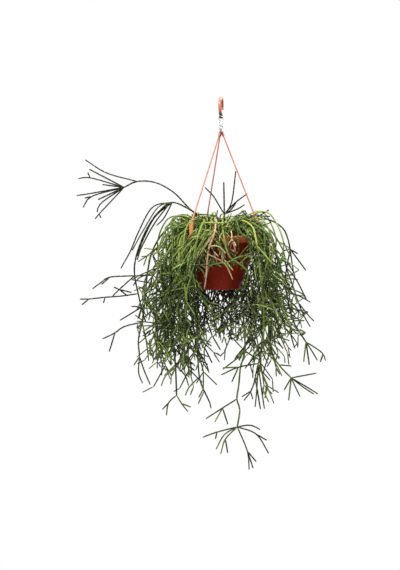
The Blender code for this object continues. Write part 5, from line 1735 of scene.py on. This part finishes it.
    def dome(self) -> list[Branch]:
        """Short bowed stems that cover the soil and lie over the rim."""
        found: list[Branch] = []
        for number in range(self.dome_count):
            azimuth = 360 * number * self.dome_turn
            facing = max(0.0, math.cos(math.radians(azimuth + 90)))
            root = self.dome_root * math.sqrt((number + 0.5) / self.dome_count)
            rise = self.between(16, 34) * MM * (1 - 0.6 * root / self.dome_root)
            far = self.between(61, 82 - 8 * facing) * MM
            drop = self.between(0, 34 - 20 * facing) * MM
            middle = (root + far) / 2
            plan = [(root, SOIL_Z - 5 * MM), (root + 3 * MM, RIM_Z - 2 * MM), (middle, RIM_Z + rise),
                    ((middle + far) / 2, RIM_Z + rise * 0.8), (far, RIM_Z - drop)]
            age = max(0.0, self.chance.normal(-0.05, 0.2))
            route = self.route(azimuth, plan, 9)
            if self.over_lip(route):
                continue
            found.append(Branch(np.array(route), Kind.STEM, self.tone(), age, 0.85))
            self.tufts(found, route, 2, age * 0.5)
        return found

    def fans(self) -> list[Branch]:
        """Light stems that sweep from the front of the rim down to the left and to the right."""
        found: list[Branch] = []
        for start, first, last, count, low in self.sweeps:
            for number in range(count):
                share = (number + self.between(0.2, 0.8)) / count
                begin = start + self.chance.normal(0, 8)
                end = first + (last - first) * share
                height = low + self.chance.normal(0, 9)
                wide = 1 + self.between(-0.03, 0.06)
                plan = [(turn, reach, RIM_Z / MM + z) for turn, reach, z in self.sweep_plan]
                plan.append((1, self.sweep_reach, height))
                points = [round_pot(begin + (end - begin) * turn, reach * wide * MM, z * MM)
                          for turn, reach, z in plan]
                route = points[:2]
                for point in points[2:]:
                    if not self.room.clears_hanger([route[-1], point], self.stem_clear):
                        break
                    route.append(point)
                if self.over_lip(route):
                    continue
                tone = self.chance.beta(1.0, 0.9) * 1.2
                found.append(Branch(np.array(route), Kind.STEM, tone, 0.0, 0.9))
                self.tufts(found, route, len(route) - 1, 0.0)
        return found

    def beside_arch(self) -> list[Branch]:
        """Stems that run beside the arch on the left, and a small fork at the left edge."""
        return [Branch(np.array(points) * MM, Kind.TWIG, 0.12, 0.0, 0.95) for points in self.beside]

    def front(self) -> list[Branch]:
        """Thin woody stems that hang over the pot's front."""
        found: list[Branch] = []
        for number in range(self.front_count):
            first, last = self.front_turns
            azimuth = first + (last - first) * (number + self.between(0.2, 0.8)) / self.front_count
            root = self.between(30, 50) * MM
            crest = RIM_Z + self.between(6, 12) * MM
            plan = [(root, SOIL_Z - 5 * MM), (root + 5 * MM, RIM_Z), (62 * MM, crest)]
            plan += [(reach * MM, RIM_Z - drop * MM) for reach, drop in self.front_plan[:2 + number % 3]]
            age = self.between(0.1, 0.95)
            route = self.route(azimuth, plan, 6)
            if number % 2 and self.over_lip(route):
                continue
            found.append(Branch(np.array(route), Kind.STEM, self.tone(), age, 0.75))
            self.tufts(found, route, len(route) - 2, age)
        return found


@dataclass
class StemModeller:
    """Turns branches into smooth tubes with narrow bases, slight waists and blunt tips."""

    skin: Material
    stem_radius: float = 1.65 * MM
    stem_end: float = 1.45 * MM
    twig_radius: float = 1.32 * MM
    step: float = 7 * MM
    sides: int = 6
    # A branch's width near its base and its tip: places in millimetres, and shares of its full width
    base: Row = (0, 1.6, 4)
    base_sizes: Row = (0.55, 0.72, 0.98)
    tip: Row = (0, 0.12, 0.5, 1.3)
    tip_sizes: Row = (0.25, 0.5, 0.8, 1)
    # How much a stem narrows at a joint, and over what length
    waist: float = 0.17
    waist_long: float = 2 * MM
    waist_ring: float = 2.2 * MM
    mould: Mould = field(init=False)

    def __post_init__(self) -> None:
        """Makes the mould that every branch is bent from."""
        self.mould = Mould(round_section(self.sides))

    def rings(self, branch: Branch) -> tuple[Array, Array]:
        """Where a branch's rings stand and how wide they are.

        Args:
            branch: the stem or twig.

        Returns:
            The rings' middles and radii.
        """
        line, marks = smooth_line(branch.points, self.step)
        lengths = run_lengths(line)
        total = lengths[-1]
        ends = [total - place * MM for place in self.tip]
        if branch.kind is Kind.TWIG:
            extra = [place * MM for place in self.base]
            count = max(3, int(total / self.step)) + 1
            body = np.linspace(self.base[-1] * MM, total - self.tip[-1] * MM, count)[1:-1]
        else:
            nodes = lengths[marks[3:-1]] if len(marks) > 4 else np.array([])
            extra = [0.0] + [spot + off for spot in nodes for off in (-self.waist_ring, 0, self.waist_ring)]
            body = lengths[1:-1]
        wanted = np.unique(np.round(np.concatenate([extra, body, ends]), 5))
        wanted = wanted[(wanted >= 0) & (wanted <= total)]
        keep = np.concatenate([[True], np.diff(wanted) > 0.1 * MM])
        wanted = wanted[keep]
        places = np.stack([np.interp(wanted, lengths, line[:, axis]) for axis in range(3)], axis=1)
        return places, self.radii(branch, wanted, lengths[marks])

    def radii(self, branch: Branch, along: Array, marks: Array) -> Array:
        """The width of a branch at each ring."""
        total = along[-1]
        if branch.kind is Kind.TWIG:
            places = [place * MM for place in self.base] + [total * 0.6, total]
            size = np.interp(along, places, self.base_sizes + (1.03, 0.9)) * self.twig_radius
        else:
            size = np.interp(along, (0, total), (self.stem_radius, self.stem_end))
            for spot in marks[3:-1]:
                size = size * (1 - self.waist * np.exp(-((along - spot) / self.waist_long) ** 2))
        blunt = np.interp(total - along, [place * MM for place in self.tip], self.tip_sizes)
        return size * blunt * branch.thick

    def build(self, name: str, branches: Sequence[Branch], *nodes: str) -> Object:
        """One piece from many branches.

        Args:
            name: the piece's name.
            branches: its stems and twigs.
            nodes: CAD nodes that it replaces.

        Returns:
            The piece, dressed.
        """
        shape = bmesh.new()
        places, wraps, looks = [], [], []
        for branch in branches:
            line, radii = self.rings(branch)
            shape.from_mesh(self.mould.tube(len(line)))
            part = self.mould.parts[len(line)]
            places.append(self.mould.bent(line, radii))
            wraps.append(np.stack([part["round"], run_lengths(line)[part["loop_ring"]]], axis=1))
            looks.append(np.tile([[branch.tone], [branch.age]], len(part["x"])))
        mesh = bpy.data.meshes.new(name)
        shape.to_mesh(mesh)
        shape.free()
        mesh.vertices.foreach_set("co", np.concatenate(places).ravel())
        mesh.uv_layers["skin"].data.foreach_set("uv", np.concatenate(wraps).ravel())
        for label, values in zip(("tone", "age"), np.concatenate(looks, axis=1)):
            mesh.attributes.new(label, "FLOAT", "POINT").data.foreach_set("value", values)
        mesh.update()
        piece = add_object(name, mesh)
        return dress(piece, self.skin, Slot.STEM, PLANT_BODY, *nodes, sharp=60.0)


@dataclass
class Plant:
    """The whole plant: the CAD's sprays in finer form, and the stems that fill it out."""

    modeller: StemModeller
    woody: Mapping[str, float] = field(default_factory=lambda: {
        "spray_front_curl": 0.7, "spray_front_right": 0.15, "spray_bottom": 0.15})
    # Set tones: the negative ones darken the sprays up top as painted shade, for they stand dark against the
    # light; the front left spray is lighter
    tones: Mapping[str, float] = field(default_factory=lambda: {
        "spray_high_left": -0.5, "spray_arch_left": -0.6, "spray_crown": -0.6, "spray_arch_right": -0.3,
        "spray_front_left": 0.7})
    slim: float = 0.86
    # Below this much under the rim the stems are fresher
    fresh_under: float = 120 * MM
    seed: int = 5

    def tint(self, name: str, branches: list[Branch], chance: np.random.Generator) -> None:
        """Gives each branch its own tone and age."""
        age, tone = self.woody.get(name, 0.0), self.tones.get(name)
        for branch in branches:
            branch.tone = chance.beta(0.7, 0.9) if tone is None else tone + chance.uniform(0, 0.12)
            if name.startswith("spray_trailing"):
                branch.thick = self.slim
            low = branch.points[0][2] < RIM_Z - self.fresh_under
            branch.age = max(0.0, age * (0.3 if low else 1) + chance.normal(0, 0.12))

    def build(self) -> None:
        """Grows and models every spray, then the rest."""
        grower = Grower()
        grower.grow_all()
        chance = np.random.default_rng(self.seed)
        for node, branches in grower.sprays.items():
            self.tint(node, branches, chance)
            self.modeller.build(node.replace("spray_", "") + "_stems", branches, node)
        fullness = Fullness(grower.room)
        for name, branches in (("dome", fullness.dome()), ("curtain", fullness.curtain()),
                               ("front", fullness.front()),
                               ("fan", fullness.fans() + fullness.beside_arch())):
            self.parts(name, branches)

    def parts(self, name: str, branches: list[Branch], most: int = 1400) -> None:
        """Splits many branches into pieces of a handy size."""
        count = math.ceil(len(branches) / most)
        for number in range(count):
            share = branches[number * len(branches) // count:(number + 1) * len(branches) // count]
            self.modeller.build(f"{name}_stems_{number + 1}", share)


# Studio


@dataclass
class Studio:
    """Pale floor, soft light and a camera at the photograph's angle."""

    elevation: float = math.radians(5.5)
    distance: float = 3.2
    frame_tall: float = 570 * 1.68 * MM
    middle: Place = (-34.9 * MM, 0.0, -310.5 * MM)
    floor_z: float = -2.0
    floor_radius: float = 4.0
    white: Colour = (1.0, 1.0, 1.0)
    white_band: Pair = (0.32, 0.45)
    overhead: float = 0.14

    def camera(self) -> None:
        """The camera, a few degrees above the level, far off with a long lens."""
        data = bpy.data.cameras.new("camera")
        data.sensor_width = 36.0
        data.lens = data.sensor_width * self.distance / self.frame_tall
        camera = add_object("camera", data)
        back = Vector((0, -math.cos(self.elevation), math.sin(self.elevation)))
        camera.location = Vector(self.middle) + back * self.distance
        camera.rotation_euler = (-back).to_track_quat("-Z", "Y").to_euler()
        bpy.context.scene.camera = camera

    def world(self) -> None:
        """A world that is white round the horizon and greyer overhead and underfoot."""
        web = NodeWeb(bpy.data.worlds.new("white_round"), "Background")
        way = web.add("ShaderNodeTexCoord", {}).outputs["Generated"]
        steep = web.math("ABSOLUTE", web.axis(way, "Z"))
        web.feed(web.shader.inputs["Color"], (*self.white, 1))
        web.feed(web.shader.inputs["Strength"], web.spread(steep, *self.white_band, (1.0, self.overhead)))
        bpy.context.scene.world = web.owner

    def lamp(self, name: str, place: Place, size: float, power: float) -> None:
        """A square soft light that faces the plant."""
        data = bpy.data.lights.new(name, "AREA")
        data.shape = "SQUARE"
        data.size = size
        data.energy = power
        lamp = add_object(name, data)
        lamp.location = place
        lamp.rotation_euler = (Vector(self.middle) - Vector(place)).to_track_quat("-Z", "Y").to_euler()

    def floor(self) -> None:
        """A round pale floor far below the pot, which fades out at its edge."""
        shape = bmesh.new()
        bmesh.ops.create_circle(shape, cap_ends=True, segments=96, radius=self.floor_radius)
        mesh = mesh_from(shape, "floor", Matrix.Translation((0, 0, self.floor_z)))
        floor = add_object("floor", mesh)
        web = NodeWeb(bpy.data.materials.new("pale_floor"))
        web.surface((0.9, 0.9, 0.9), 0.9)
        clear, solid = self.floor_radius * 0.95, self.floor_radius * 0.5
        web.feed(web.shader.inputs["Alpha"], web.spread(web.from_axis(), clear, solid))
        mesh.materials.append(web.owner)

    def build(self) -> None:
        """Camera, world, lights and floor."""
        bpy.context.scene.view_settings.view_transform = "Standard"
        self.camera()
        self.world()
        self.lamp("key", (-1.3, -1.9, 1.4), 0.8, 98)
        self.lamp("top", (0.5, 0.2, 1.5), 0.9, 90)
        self.floor()


def main() -> None:
    """Loads the frame and builds every part of the look in order."""
    logging.basicConfig(level=logging.INFO, format="%(name)s %(message)s")
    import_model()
    Studio().build()
    plastic, steel = HangerPlastic().material(), SwivelSteel().material()
    hook = Hook()
    swivel = Swivel(hook)
    dress(hook.build(), plastic, Slot.HANGER, HOOK_BODY, "hook")
    dress(swivel.build_eye(), steel, Slot.STEEL, HOOK_BODY, "swivel_eye")
    dress(swivel.build_barrel(), steel, Slot.STEEL, PLANT_BODY, "swivel_barrel")
    dress(Hub(swivel).build(), plastic, Slot.HANGER, PLANT_BODY, "hub")
    for node, azimuth in STRAND_AZIMUTHS.items():
        dress(Strand(node, azimuth).build(), plastic, Slot.HANGER, PLANT_BODY, node)
    pot = Pot()
    dress(pot.build(), PotPlastic().material(), Slot.POT, PLANT_BODY, "pot", sharp=50.0)
    soil = Soil(pot)
    dress(soil.build(), PeatSoil().material(), Slot.SOIL, PLANT_BODY, "soil")
    dress(soil.build_grains(), Perlite().material(), Slot.SOIL, PLANT_BODY)
    Plant(StemModeller(StemSkin().material())).build()


if __name__ == "__main__":
    main()
